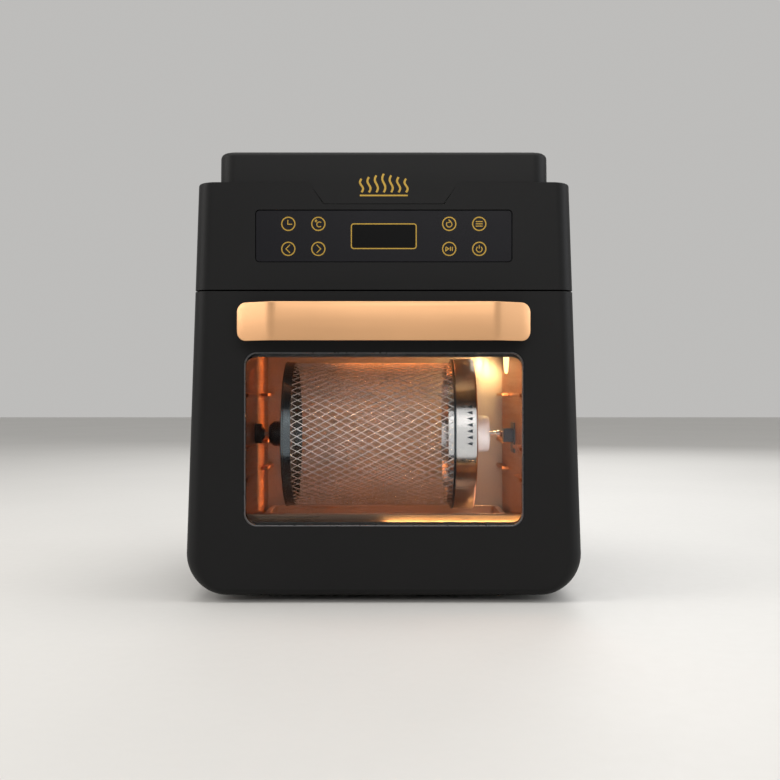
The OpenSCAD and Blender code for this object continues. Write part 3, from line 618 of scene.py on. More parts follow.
def blockMesh(name, xs, depths, zs, radius=0.0):
    # a block standing on its outline in the front view, with corners of that radius
    width = xs[1] - xs[0]
    height = zs[1] - zs[0]
    centre = (middle(xs), middle(zs))
    if radius:
        outline = roundedLoop(width, height, radius, 6, centre)
    else:
        outline = [(xs[0], zs[0]), (xs[1], zs[0]), (xs[1], zs[1]), (xs[0], zs[1])]
    return prismMesh(name, outline, depths[0], depths[1])


def rodMesh(name, axis, centre, start, end, radius, steps=32, soft=0.0):
    # a plain round rod or hole, with both ends softened
    profile = softProfile([(start, 0), (start, radius), (end, radius), (end, 0)], [0, soft, soft, 0])
    return turnedMesh(name, profile, axis, centre, steps)


# Door shell

doorDesign = {"edge": 0.7, "hingeSlot": 6, "hingeX": 100, "windowRadius": 11}

doorHinge = next(joint for joint in frame["joints"] if joint["name"] == "door_hinge")
hingeDepth = (doorHinge["pos_m"][1] - doorFace) / mm
hingeZ = doorHinge["pos_m"][2] / mm
sweepRadius = hingeZ - footGap
doorBack = doorSpan[1][1]
trimSpan = span("window_trim")
windowCentre = (0, middle(trimSpan[2]))
windowSize = (trimSpan[0][1] - trimSpan[0][0] + 0.1, trimSpan[2][1] - trimSpan[2][0] + 0.1)


def sweepFloor(radius):
    # lowest height of the door at each depth, so that it clears the housing as it swings
    def floorAt(depth):
        behind = depth - hingeDepth
        return hingeZ - radius if behind < 0 else hingeZ - math.sqrt(max(radius**2 - behind**2, 0))

    return floorAt


wall = outlineDesign["wall"]
doorTop = doorSpan[2][1]
doorRings = bodyRings(footGap, doorTop, 0, doorBack, floorAt=sweepFloor(sweepRadius))
innerFloor = sweepFloor(sweepRadius - wall)
pocketRings = bodyRings(footGap, doorTop - wall, wall, doorBack + 1, wall, floorAt=innerFloor)
windowOutline = roundedLoop(*windowSize, doorDesign["windowRadius"], 12, windowCentre)
doorCuts = [loftMesh("cutter", pocketRings), prismMesh("cutter", windowOutline, -1, wall + 1)]
for side in (-1, 1):
    slotX = side * doorDesign["hingeX"]
    slotHalf = doorDesign["hingeSlot"] / 2
    slotXs = (slotX - slotHalf, slotX + slotHalf)
    doorCuts.append(blockMesh("cutter", slotXs, (5, doorBack + 4), (0, hingeZ + 1)))
doorMesh = loftMesh("doorShell", doorRings)
doorEdge = doorDesign["edge"]
makePiece("doorShell", doorMesh, "shellBlack", "door", ["door_shell"], doorCuts, doorEdge)
print("door shell made")


# Window: steel line, two panes and the dark tunnel between them

windowDesign = {"lineWidth": 1.1, "lineFront": 0.5, "tunnelGap": 1, "tunnelWall": 3}
# name: the node it stands for, and how far it reaches past the window
panes = {"doorGlass": ("door_glass", 4), "innerGlass": ("door_inner_glass", 3)}


def frameMesh(name, outer, inner, start, end):
    # a flat frame between two loops with the same number of points
    rings = [
        [(x, start, z) for x, z in outer],
        [(x, end, z) for x, z in outer],
        [(x, end, z) for x, z in inner],
        [(x, start, z) for x, z in inner],
    ]
    return loftMesh(name, rings, closedRound=True)


def windowLoop(grow, radius):
    return roundedLoop(windowSize[0] + 2 * grow, windowSize[1] + 2 * grow, radius, 12, windowCentre)


cornerRadius = doorDesign["windowRadius"]
lineOuter = windowLoop(-0.05, cornerRadius)
lineInner = windowLoop(-windowDesign["lineWidth"], cornerRadius - 1)
lineMesh = frameMesh("windowLine", lineOuter, lineInner, windowDesign["lineFront"], wall)
makePiece("windowLine", lineMesh, "lineSteel", "door", ["window_trim"], edge=0.4)

for name, (node, overlap) in panes.items():
    front, back = span(node)[1]
    paneMesh = prismMesh(name, windowLoop(overlap, cornerRadius), front + 0.05, back - 0.05)
    makePiece(name, paneMesh, "doorGlass", "door", [node], edge=0)

gap = windowDesign["tunnelGap"]
past = gap + windowDesign["tunnelWall"]
tunnelOuter = windowLoop(past, cornerRadius + past)
tunnelInner = windowLoop(gap, cornerRadius + gap)
tunnelMesh = frameMesh("windowTunnel", tunnelOuter, tunnelInner, *span("window_tunnel")[1])
makePiece("windowTunnel", tunnelMesh, "glossBlack", "door", ["window_tunnel"], edge=0.4)
print("window made")


# Handle

handleDesign = {"thickness": 2, "endWidth": 29, "corner": 7.5, "bend": 4}

barSpan = span("handle_bar")
barFront = barSpan[1][0]
barHalf = barSpan[0][1]
barMiddle = middle(barSpan[2])
barHalfHeight = (barSpan[2][1] - barSpan[2][0]) / 2
barFlat = barHalf - handleDesign["endWidth"]
barSlope = (barSpan[1][1] - barFront - handleDesign["thickness"]) / handleDesign["endWidth"]


def barDepth(x):
    # flat in the middle, and swept back in a straight line past a soft bend
    past = abs(x) - barFlat
    bend = handleDesign["bend"]
    if past < -bend:
        return barFront
    if past > bend:
        return barFront + barSlope * past
    return barFront + barSlope * (past + bend) ** 2 / (4 * bend)


def barHeight(x):
    corner = handleDesign["corner"]
    past = abs(x) - (barHalf - corner)
    return barHalfHeight if past < 0 else barHalfHeight - corner + math.sqrt(max(corner**2 - past**2, 0))


def barRing(x):
    depth = barDepth(x)
    half = barHeight(x)
    outline = roundedLoop(handleDesign["thickness"], 2 * half, 0.85, 4, (depth + 1, barMiddle))
    return [(x, min(p[0], barSpan[1][1]), p[1]) for p in outline]


# stations along the bar, closest together where its ends are rounded
stations = [barHalf - handleDesign["corner"] * (1 - math.cos(math.radians(9 * i))) for i in range(10)]
stations += [barHalf - handleDesign["corner"] - 2 * i for i in range(15)]
stations += [barFlat - 6 - 10 * i for i in range(9)]
stations = sorted({round(x, 3) for x in stations} | {0.0})
stations = [-x for x in reversed(stations) if x > 0.01] + [x for x in stations if x >= 0]
handleMesh = loftMesh("handleBar", [barRing(x) for x in stations])
makePiece("handleBar", handleMesh, "copperSatin", "door", ["handle_bar"], edge=0)
print("handle made")


# Control head: front shell, touch panel, icons and display

headDesign = {
    "shoulderRound": 2.2,
    "openingHalf": 132,  # half the width of the opening under the cap
    "tongueFoot": 50,  # half widths of the cap's tongue
    "tongueTop": 63,
    "panelRadius": 3,
    "panelRecess": 2.6,
    "displayRadius": 2,
    "iconRadius": 5.5,
    "iconLine": 0.95,
}

panelSpan = span("touch_panel")
headSpan = housingSpan
headZ = headSpan[2]
capSpan = span("top_cap")
panelCentre = (0, middle(panelSpan[2]))
panelSize = (panelSpan[0][1] - panelSpan[0][0], panelSpan[2][1] - panelSpan[2][0])
tongueFoot = capSpan[2][0]


def tongueLoop(gap, top):
    # front view of the tongue that hangs from the cap, out to the given gap
    foot = headDesign["tongueFoot"] + gap
    head = headDesign["tongueTop"] + gap
    return [(-foot, tongueFoot - gap), (foot, tongueFoot - gap), (head, top), (-head, top)]


def shoulderLoop(loop, top, radius):
    # rounds the two upper corners of a body loop
    rounded = []
    for i, point in enumerate(loop):
        if abs(point[1] - top) < 1e-6:
            rounded += filletCorner(point, loop[i - 1], loop[(i + 1) % len(loop)], radius, 5)
        else:
            rounded.append(point)
    return rounded


def roundShoulders(rings, top, radius):
    result = []
    for ring in rings:
        loop = shoulderLoop([(x, z) for x, _, z in ring], top, radius)
        result.append([(x, ring[0][1], z) for x, z in loop])
    return result


headBack = headSpan[1][1]
headRings = bodyRings(*headZ, 0, headBack, drawBottom=False)
headMesh = loftMesh("controlHead", roundShoulders(headRings, headZ[1], headDesign["shoulderRound"]))
hollowRings = bodyRings(headZ[0] + wall, headZ[1] - wall, wall, headBack + 1, wall, drawBottom=False)
recessLoop = roundedLoop(panelSize[0] + 1, panelSize[1] + 1, headDesign["panelRadius"] + 0.5, 8, panelCentre)
openingHalf = headDesign["openingHalf"]
openingZs = (headZ[1] - wall - 0.5, headZ[1] + 1)
headCuts = [
    loftMesh("cutter", hollowRings),
    prismMesh("cutter", recessLoop, -1, headDesign["panelRecess"]),
    prismMesh("cutter", tongueLoop(0.4, headZ[1] + 1), -1, headBack + 1),
    blockMesh("cutter", (-openingHalf, openingHalf), (wall, headBack + 1), openingZs),
]
makePiece("controlHead", headMesh, "shellBlack", "housing", ["front_housing"], headCuts, 0.45)

panelOutline = roundedLoop(*panelSize, headDesign["panelRadius"], 8, panelCentre)
panelMesh = prismMesh("touchPanel", panelOutline, *panelSpan[1])
makePiece("touchPanel", panelMesh, "panelGlass", "housing", ["touch_panel"], edge=0.35)


def ribbonInto(bm, points, width, surface, closed=False, lift=0.05):
    # a thin raised line along (x, z) points, lying on a surface given as depth at a height
    count = len(points)
    rings = []
    for i, (x, z) in enumerate(points):
        before = points[i - 1] if closed or i > 0 else points[i]
        after = points[(i + 1) % count] if closed or i < count - 1 else points[i]
        first = Vector((x - before[0], z - before[1]))
        second = Vector((after[0] - x, after[1] - z))
        first = (first if first.length > 1e-6 else second).normalized()
        second = (second if second.length > 1e-6 else first).normalized()
        along = (first + second).normalized()
        side = Vector((-along.y, along.x)) * width / 2 / max(along.dot(first), 0.35)
        depth = surface(z)
        left = (x + side.x, z + side.y)
        right = (x - side.x, z - side.y)
        rings.append([(left[0], depth - lift, left[1]), (right[0], depth - lift, right[1])])
        rings[-1] += [(right[0], depth + 0.02, right[1]), (left[0], depth + 0.02, left[1])]
    loftInto(bm, rings, closedRound=closed)


def arcPoints(centre, radius, start, end, steps=24):
    return [
        (
            centre[0] + radius * math.cos(math.radians(start + (end - start) * i / steps)),
            centre[1] + radius * math.sin(math.radians(start + (end - start) * i / steps)),
        )
        for i in range(steps + 1)
    ]


def iconStrokes(kind):
    # the strokes inside each round icon, in millimetres from its middle
    if kind == "clock":
        return [[(-0.4, 3.3), (-0.4, -0.4), (3.2, -0.4)]]
    if kind == "degrees":
        return [arcPoints((0.8, -0.5), 2.1, 45, 315, 14), arcPoints((-1.9, 2.4), 0.7, 0, 330, 8)]
    if kind == "repeat":
        return [arcPoints((0, -0.4), 2.3, 60, -230, 18), [(-0.6, 3.6), (1.1, 2.0), (-0.8, 0.9)]]
    if kind == "menu":
        return [[(-2.9, h), (2.9, h)] for h in (1.9, 0, -1.9)]
    if kind == "back":
        return [[(1.4, 3.4), (-2.0, 0), (1.4, -3.4)]]
    if kind == "forward":
        return [[(-1.4, 3.4), (2.0, 0), (-1.4, -3.4)]]
    if kind == "start":
        triangle = [(-2.9, 1.6), (-2.9, -1.6), (-0.3, 0), (-2.9, 1.6)]
        return [triangle, [(1, 1.7), (1, -1.7)], [(2.6, 1.7), (2.6, -1.7)]]
    return [arcPoints((0, -0.3), 2.4, 125, 415, 20), [(0, 3.1), (0, 0.2)]]


iconRows = {
    317.2: {-79.8: "clock", -54.7: "degrees", 54.7: "repeat", 79.8: "menu"},
    296.3: {-79.8: "back", -54.7: "forward", 54.7: "start", 79.8: "power"},
}


def panelSurface(height):
    # the panel is flat and upright, so its face has one depth at every height
    return panelSpan[1][0]


iconBm = bmesh.new()
for height, row in iconRows.items():
    for across, kind in row.items():
        ring = arcPoints((across, height), headDesign["iconRadius"], 0, 360, 40)[:-1]
        ribbonInto(iconBm, ring, headDesign["iconLine"], panelSurface, closed=True)
        for stroke in iconStrokes(kind):
            moved = [(across + x, height + z) for x, z in stroke]
            ribbonInto(iconBm, moved, headDesign["iconLine"] * 0.85, panelSurface)
displayCentre = (0, panelCentre[1] - 0.15)
displayLine = roundedLoop(54.2, 20.6, headDesign["displayRadius"], 6, displayCentre)
ribbonInto(iconBm, displayLine, 0.9, panelSurface, closed=True)
makePiece("panelIcons", toMesh(iconBm, "panelIcons"), "goldPrint", "housing", edge=0)
displayMesh = prismMesh("displayWindow", displayLine, panelSpan[1][0] - 0.02, panelSpan[1][0] + 0.3)
makePiece("displayWindow", displayMesh, "displayBlack", "housing", edge=0)


# Top cap with its tongue, back slots and heat sign
capDesign = {"edgeRound": 4.5, "cornerRadius": 14, "lean": 1.1, "wall": 2.5}
capVents = {"count": 9, "pitch": 10, "groupX": 56, "drop": 14.5, "length": 13, "width": 5}

capFoot = headZ[1]
capTop = capSpan[2][1]
capFront = capSpan[1][0]
capBack = capSpan[1][1]
capHalf = capSpan[0][1]


def capFace(z):
    # depth of the cap's face at a height: upright at its foot and leaning back a little above
    rise = max(z - capFoot, 0) / (capTop - capDesign["edgeRound"] - capFoot)
    return capFront + capDesign["lean"] * rise**2


def capRing(draw, z, steps=10):
    front = capFace(min(z, capTop - capDesign["edgeRound"])) + draw
    back = capBack - draw
    radius = max(capDesign["cornerRadius"] - draw, 1.5)
    loop = roundedLoop(2 * (capHalf - draw), back - front, radius, steps, (0, (front + back) / 2))
    return [(x, depth, z) for x, depth in loop]


edgeRound = capDesign["edgeRound"]
capRings = [capRing(0, capFoot + (capTop - edgeRound - capFoot) * i / 5) for i in range(6)]
for i in range(1, 9):
    angle = math.radians(90 * i / 8)
    capRings.append(capRing(edgeRound * (1 - math.cos(angle)), capTop - edgeRound * (1 - math.sin(angle))))
capMesh = loftMesh("topCap", capRings)
thin = capDesign["wall"]
capInner = [capRing(thin, capFoot - 1), capRing(thin, capTop - edgeRound - 1)]
capInner.append(capRing(edgeRound + 1, capTop - thin))
capSlots = []
ventZ = capTop - capVents["drop"]
for side in (-1, 1):
    centres = []
    for i in range(capVents["count"]):
        offset = (i - (capVents["count"] - 1) / 2) * capVents["pitch"]
        centres.append((side * capVents["groupX"] + offset, ventZ))
    capSlots += slotCutters(centres, capVents["length"], capVents["width"], capBack - 5, capBack + 1)
topCap = linkPiece("topCap", capMesh, "capBlack", "housing", ["top_cap"])
combine(topCap, [loftMesh("cutter", capInner), *capSlots])
combine(topCap, [prismMesh("tongue", tongueLoop(0, capFoot), capFront, capFront + wall)], "UNION")
roundEdges(topCap, 0.4)

# a plain heat sign stands on the tongue: wavy strokes over a bar
heatSign = {"strokes": 7, "pitch": 6.2, "width": 1.7, "foot": 343.5, "height": 15.5, "sway": 1.3}
signBar = {"gap": 2.6, "width": 1.3, "past": 1.5}

signBm = bmesh.new()
for i in range(heatSign["strokes"]):
    offset = i - (heatSign["strokes"] - 1) / 2
    tall = heatSign["height"] * (1 - 0.09 * abs(offset))
    stroke = []
    for k in range(25):
        rise = k / 24
        sway = heatSign["sway"] * math.sin(2 * math.pi * rise)
        stroke.append((offset * heatSign["pitch"] + sway, heatSign["foot"] + tall * rise))
    ribbonInto(signBm, stroke, heatSign["width"], capFace, lift=0.06)
signHalf = heatSign["pitch"] * (heatSign["strokes"] - 1) / 2 + signBar["past"]
signZ = heatSign["foot"] - signBar["gap"]
ribbonInto(signBm, [(-signHalf, signZ), (signHalf, signZ)], signBar["width"], capFace)
makePiece("heatSign", toMesh(signBm, "heatSign"), "goldPrint", "housing", edge=0)
print("control head made")


# Side walls, back and what is fixed to it

sideDesign = {
    "ventRows": 5,
    "ventColumns": 7,
    "ventLength": 12,
    "ventHeight": 4,
    "ventPitch": (17, 10),  # along the depth, upwards
    "ventCorner": (124, 290),  # depth and height of the first slot
    "hingeClearance": 20.5,
}
lipDesign = {"inner": 151, "foot": 44, "top": 258, "inset": 2.9, "thickness": 2}

for side, node in ((-1, "left_side_panel"), (1, "right_side_panel")):
    xs, depths, zs = span(node)
    outer = shoulderLoop(bodyLoop(zs[0], zs[1]), zs[1], headDesign["shoulderRound"])
    inner = bodyLoop(zs[0], zs[1] - wall, wall)
    right = [point for point in outer if point[0] > 0]
    back = [point for point in reversed(inner) if point[0] > 0]
    loop = right + [(openingHalf, zs[1]), (openingHalf, zs[1] - wall)] + back
    panel = prismMesh("side", [(side * x, z) for x, z in loop], *depths)
    hingeEnds = sorted((side * 60, side * 200))
    cuts = [rodMesh("cutter", "x", (0, hingeDepth, hingeZ), *hingeEnds, sideDesign["hingeClearance"], 64)]
    for row in range(sideDesign["ventRows"]):
        for column in range(sideDesign["ventColumns"]):
            ventDepth = sideDesign["ventCorner"][0] + sideDesign["ventPitch"][0] * column
            ventZ = sideDesign["ventCorner"][1] + sideDesign["ventPitch"][1] * row
            slot = roundedLoop(sideDesign["ventLength"], sideDesign["ventHeight"], 1.9, 6, (ventDepth, ventZ))
            cuts.append(prismMesh("cutter", slot, *sorted((side * 140, side * 175)), "x"))
    name = "leftSide" if side < 0 else "rightSide"
    makePiece(name, panel, "shellBlack", "housing", [node], cuts, 0.45)
    lip = [(lipDesign["inner"], lipDesign["foot"]), (lipDesign["inner"], lipDesign["top"])]
    for z in (lipDesign["top"], lipDesign["foot"]):
        lip.append((halfWidth(z) - lipDesign["inset"], z))
    lip = [(side * x, z) for x, z in lip]
    lipMesh = prismMesh("lip", lip, depths[0], depths[0] + lipDesign["thickness"])
    makePiece(name + "Lip", lipMesh, "shellBlack", "housing", edge=0.3)

coverDesign = {"screws": ((140, 60), (140, 200), (135, 330)), "glandHole": 9.1}
rearVents = {"heights": (100, 275), "count": 15, "pitch": 12, "length": 40, "width": 5}
cornerVents = {"x": 84, "z": 226, "count": 3, "pitch": 9, "length": 24}

rearSpan = span("rear_cover")
screwSpots = [(side * x, z) for x, z in coverDesign["screws"] for side in (-1, 1)]
glandSpan = span("cable_gland")
glandAt = (middle(glandSpan[0]), middle(glandSpan[2]))
rearRings = bodyRings(*rearSpan[2], rearSpan[1][1], rearSpan[1][0])
rearRings = roundShoulders(rearRings, rearSpan[2][1], headDesign["shoulderRound"])
rearInner = bodyRings(rearSpan[2][0], rearSpan[2][1] - wall, rearSpan[1][1] - wall, rearSpan[1][0] - 1, wall)
rearCuts = [loftMesh("cutter", rearInner)]
ventStart = rearSpan[1][1] - wall - 1
ventEnd = rearSpan[1][1] + 1
for height in rearVents["heights"]:
    middleVent = (rearVents["count"] - 1) / 2
    centres = [((i - middleVent) * rearVents["pitch"], height) for i in range(rearVents["count"])]
    rearCuts += slotCutters(centres, rearVents["length"], rearVents["width"], ventStart, ventEnd)
centres = []
for i in range(cornerVents["count"]):
    centres.append((cornerVents["x"] + cornerVents["pitch"] * (i - 1), cornerVents["z"]))
rearCuts += slotCutters(centres, cornerVents["length"], rearVents["width"], ventStart, ventEnd)
glandCentre = (glandAt[0], 0, glandAt[1])
rearCuts.append(rodMesh("cutter", "depth", glandCentre, ventStart, ventEnd, coverDesign["glandHole"], 48))
rearMesh = loftMesh("rearCover", rearRings)
makePiece("rearCover", rearMesh, "darkPlastic", "housing", ["rear_cover"], rearCuts, 0.5)

fixingDesign = {"screwRadius": 3.4, "crossSlot": 0.8, "footRadius": 11, "footTaper": 1.4, "spacerRadius": 8}

screwMeshes = []
base = rearSpan[1][1]
screwRadius = fixingDesign["screwRadius"]
for x, z in screwSpots:
    profile = [(base - 3, 0), (base - 3, 1.5), (base, 1.5), (base, screwRadius), (base + 0.5, screwRadius)]
    profile += [(base + 1.3, screwRadius - 0.8), (base + 1.75, 1.2), (base + 1.8, 0)]
    screwMeshes.append(turnedMesh("screw", profile, "depth", (x, 0, z), 24))
screwMesh = joinMeshes("rearScrews", screwMeshes)
screws = linkPiece("rearScrews", screwMesh, "zincSheet", "housing", ["housing_screws"])
recess = []
crossSlot = fixingDesign["crossSlot"]
for x, z in screwSpots:
    for wide, high in ((screwRadius, crossSlot), (crossSlot, screwRadius)):
        slotXs = (x - wide / 2, x + wide / 2)
        recess.append(blockMesh("cutter", slotXs, (base + 0.9, base + 3), (z - high / 2, z + high / 2)))
combine(screws, recess)

footMeshes = []
footSpan = span("feet")
footRadius = fixingDesign["footRadius"]
footX = footSpan[0][1] - footRadius
footCorners = [(0, 0), (0, footRadius - fixingDesign["footTaper"]), (footGap, footRadius), (footGap, 0)]
for x in (-footX, footX):
    for depth in (footSpan[1][0] + footRadius, footSpan[1][1] - footRadius):
        profile = softProfile(footCorners, [0, 0.9, 0.3, 0])
        footMeshes.append(turnedMesh("foot", profile, "z", (x, depth, 0), 40))
footMesh = joinMeshes("rubberFeet", footMeshes)
makePiece("rubberFeet", footMesh, "footRubber", "housing", ["feet"], edge=0)

spacerSpan = span("rear_spacers")
spacerMeshes = []
spacerRadius = fixingDesign["spacerRadius"]
near, far = spacerSpan[1]
for x in (spacerSpan[0][0] + spacerRadius, spacerSpan[0][1] - spacerRadius):
    corners = [(near, 0), (near, spacerRadius), (far, spacerRadius - 1)]
    corners += [(far, 4), (far - 2, 3.4), (far - 2, 0)]
    profile = softProfile(corners, [0, 0, 1, 0.3, 0.2, 0])
    spacerMeshes.append(turnedMesh("spacer", profile, "depth", (x, 0, middle(spacerSpan[2])), 40))
spacerMesh = joinMeshes("wallSpacers", spacerMeshes)
makePiece("wallSpacers", spacerMesh, "darkPlastic", "housing", ["rear_spacers"], edge=0)

g0, g1 = glandSpan[1]
glandCorners = [(g0, 3.75), (g0, 9), (g1 - 3, 9), (g1 - 3, 12)]
glandCorners += [(g1 - 0.8, 11.4), (g1 - 0.8, 6), (g1, 5.4), (g1, 3.75)]
glandProfile = softProfile(glandCorners, [0, 0.3, 0, 0.2, 0.4, 0.2, 0.3, 0])
glandMesh = turnedMesh("cordInlet", glandProfile, "depth", glandCentre, 48)
makePiece("cordInlet", glandMesh, "footRubber", "housing", ["cable_gland"], edge=0)
print("housing made")


# Rotisserie drum

drumDesign = {"across": 12, "around": 62, "wire": 0.38, "knot": 1.5, "meshSides": 6}
knotSections = ((-1, 0.15), (-0.45, 0.5), (0.45, 0.5), (1, 0.15))  # place along the knot, radius

spin = next(joint for joint in frame["joints"] if joint["name"] == "basket_spin")
spinDepth = (spin["pos_m"][1] - doorFace) / mm
spinZ = spin["pos_m"][2] / mm
axisAt = (0, spinDepth, spinZ)
meshSpan = span("basket_mesh")
drumRadius = (meshSpan[2][1] - meshSpan[2][0]) / 2


def onDrum(x, angle, radius):
    # a point on the drum: angle 0 faces the front and 90 faces up
    turn = math.radians(angle)
    return (x, spinDepth - radius * math.cos(turn), spinZ + radius * math.sin(turn))


def wireRing(x, angle, tilt, radius, wire, sides):
    # cross-section of a strand that runs slanted over the drum
    centre = Vector(onDrum(x, angle, radius))
    outward = (centre - Vector((x, spinDepth, spinZ))).normalized()
    around = Vector((1, 0, 0)).cross(outward)
    along = (Vector((math.cos(tilt), 0, 0)) + around * math.sin(tilt)).normalized()
    across = along.cross(outward)
    points = []
    for i in range(sides):
        turn = 2 * math.pi * i / sides
        points.append(tuple(centre + outward * wire * math.cos(turn) + across * wire * 1.15 * math.sin(turn)))
    return points


meshBm = bmesh.new()
meshStart, meshEnd = meshSpan[0]
cellLength = (meshEnd - meshStart) / drumDesign["across"]
cellAngle = 360 / drumDesign["around"]
strandTilt = math.atan2(math.radians(cellAngle) * drumRadius, cellLength)
wire = drumDesign["wire"]
strandRadius = drumRadius - wire - 0.05
for i in range(drumDesign["around"]):
    for way in (-1, 1):
        rings = []
        for k in range(2 * drumDesign["across"] + 1):
            x = meshStart + cellLength * k / 2
            angle = cellAngle * (i + way * k / 2)
            rings.append(wireRing(x, angle, -way * strandTilt, strandRadius, wire, drumDesign["meshSides"]))
        loftInto(meshBm, rings)
for k in range(2 * drumDesign["across"] + 1):
    for i in range(drumDesign["around"]):
        angle = cellAngle * (i + (0.5 if k % 2 else 0))
        x = meshStart + cellLength * k / 2
        knot = []
        for share, thickness in knotSections:
            knot.append(wireRing(x + drumDesign["knot"] * share, angle, 0, strandRadius, thickness, 6))
        loftInto(meshBm, knot)
drumMesh = toMesh(meshBm, "drumMesh", 80)
makePiece("drumMesh", drumMesh, "meshSteel", "basket", ["basket_mesh"], edge=0)

# Drum ends: rim and hub on the left, collar and flange on the right
rimDesign = {"lip": 1.5, "roll": 2.4, "width": 9, "step": 0.8}
hubDesign = {"radius": 12, "length": 17, "flange": 14, "stubHalf": 2.1}

endsSpan = span("basket_ends")
lidSpan = span("basket_lid")
left = meshStart - 2
rimRadius = drumRadius + rimDesign["lip"]
rimStep = rimRadius - rimDesign["step"]
rimEnd = left + rimDesign["width"]
rimCorners = [(left, 0), (left, rimRadius), (left + 1.8, rimRadius), (left + rimDesign["roll"], rimStep)]
rimCorners += [(rimEnd, rimStep), (rimEnd, drumRadius - 1), (left + 2, drumRadius - 1), (left + 2, 0)]
rimProfile = softProfile(rimCorners, [0, 0.7, 0.7, 0.3, 0.3, 0.2, 0.5, 0])
rimMesh = turnedMesh("drumRim", rimProfile, "x", axisAt, 128)
makePiece("drumRim", rimMesh, "rimDark", "basket", ["basket_ends"], edge=0)

hubRadius = hubDesign["radius"]
hubEnd = left - hubDesign["length"]
hubCorners = [(hubEnd, 0), (hubEnd, hubRadius - 3), (hubEnd + 4, hubRadius), (left - 3, hubRadius)]
hubCorners += [(left - 3, hubDesign["flange"]), (left, hubDesign["flange"]), (left, 0)]
hubMesh = turnedMesh("leftHub", softProfile(hubCorners, [0, 0.5, 0.7, 0.3, 0.5, 0.4, 0]), "x", axisAt, 48)
makePiece("leftHub", hubMesh, "hubDark", "basket", edge=0)
stubHalf = hubDesign["stubHalf"]
stubAcross = ((spinDepth - stubHalf, spinDepth + stubHalf), (spinZ - stubHalf, spinZ + stubHalf))
stubMesh = blockMesh("squareStub", (endsSpan[0][0], left - 16), *stubAcross)
makePiece("squareStub", stubMesh, "polishedSteel", "basket", edge=0.35)

flangeDesign = {"inside": 7, "outside": 14, "lip": 1.7, "flangeLip": 4}

collarX = lidSpan[0][0]
collarStart = collarX - flangeDesign["inside"]
collarEnd = collarX + flangeDesign["outside"]
collarRadius = drumRadius + flangeDesign["lip"]
collarCorners = [(collarStart, drumRadius - 2), (collarStart, drumRadius - 1), (collarX - 1, drumRadius - 1)]
collarCorners += [(collarX - 1, collarRadius), (collarEnd, collarRadius), (collarEnd, drumRadius - 2)]
collarProfile = softProfile(collarCorners, [0.2, 0.4, 0, 0.2, 0.4, 0.2])
collarMesh = turnedMesh("drumCollar", collarProfile, "x", axisAt, 128)
makePiece("drumCollar", collarMesh, "polishedSteel", "basket", edge=0)
flangeRadius = drumRadius + flangeDesign["flangeLip"]
flangeCorners = [(collarX - 2, drumRadius - 0.9), (collarX - 2, flangeRadius)]
flangeCorners += [(collarX - 0.2, flangeRadius), (collarX - 0.2, drumRadius - 0.9)]
flangeMesh = turnedMesh("drumFlange", softProfile(flangeCorners, [0, 0.8, 0.8, 0]), "x", axisAt, 128)
makePiece("drumFlange", flangeMesh, "darkSteel", "basket", edge=0)

# Drum lid with its holes, hub and pin
lidDesign = {"width": 19.5, "sheet": 1.5, "holes": 12, "holeRing": 48, "holeRadius": 6}
knobDesign = {"radius": 18, "length": 16}
pinDesign = {"radius": 2.5, "waist": 1.9, "grooves": 3, "groovePitch": 2.2, "ball": 3.6}

lidEnd = collarX + lidDesign["width"]
lidInside = lidEnd - lidDesign["sheet"]
lidRadius = drumRadius + 4
lidCorners = [(collarX, lidRadius - 1.2), (collarX, lidRadius), (lidEnd, lidRadius), (lidEnd, 0)]
lidCorners += [(lidInside, 0), (lidInside, lidRadius - 1.2)]
lidProfile = softProfile(lidCorners, [0.3, 0.5, 2.2, 0, 0, 1])
lidHoles = []
for i in range(lidDesign["holes"]):
    spot = onDrum(0, 360 * i / lidDesign["holes"], lidDesign["holeRing"])
    lidHoles.append(rodMesh("cutter", "x", spot, lidEnd - 4, lidEnd + 3, lidDesign["holeRadius"], 24))
lidMesh = turnedMesh("drumLid", lidProfile, "x", axisAt, 128)
lid = linkPiece("drumLid", lidMesh, "lidSteel", "basket_lid", ["basket_lid"])
combine(lid, lidHoles)
for polygon in lid.data.polygons:
    polygon.use_smooth = True

knobEnd = lidEnd + knobDesign["length"]
knobCorners = [(lidEnd, 0), (lidEnd, knobDesign["radius"]), (knobEnd, knobDesign["radius"] - 0.6)]
knobCorners += [(knobEnd, 4), (knobEnd - 1, 3), (knobEnd - 1, 0)]
knobMesh = turnedMesh("lidHub", softProfile(knobCorners, [0, 0.6, 2.6, 0.3, 0.3, 0]), "x", axisAt, 64)
makePiece("lidHub", knobMesh, "hubGrey", "basket_lid", edge=0)
pinEnd = lidSpan[0][1]
pinRadius = pinDesign["radius"]
waist = pinDesign["waist"]
pinCorners = [(knobEnd - 2, 0), (knobEnd - 2, pinRadius)]
for i in range(pinDesign["grooves"]):
    start = knobEnd + 1.5 + pinDesign["groovePitch"] * i
    pinCorners += [(start, pinRadius), (start + 0.3, waist), (start + 0.9, waist), (start + 1.2, pinRadius)]
ball = knobEnd + 10
pinCorners += [(ball - 2.6, pinRadius), (ball - 1.8, 3.3), (ball, pinDesign["ball"]), (ball + 1.8, 3.3)]
pinCorners += [(ball + 2.6, pinRadius), (pinEnd, pinRadius - 0.2), (pinEnd, 0)]
pinMesh = turnedMesh("lidPin", pinCorners, "x", axisAt, 32)
makePiece("lidPin", pinMesh, "polishedSteel", "basket_lid", edge=0)

# a row of small triangles marks which way the lid turns
lidMarks = {"count": 7, "from": -5, "to": 22, "x": 77.4, "size": 2.7}

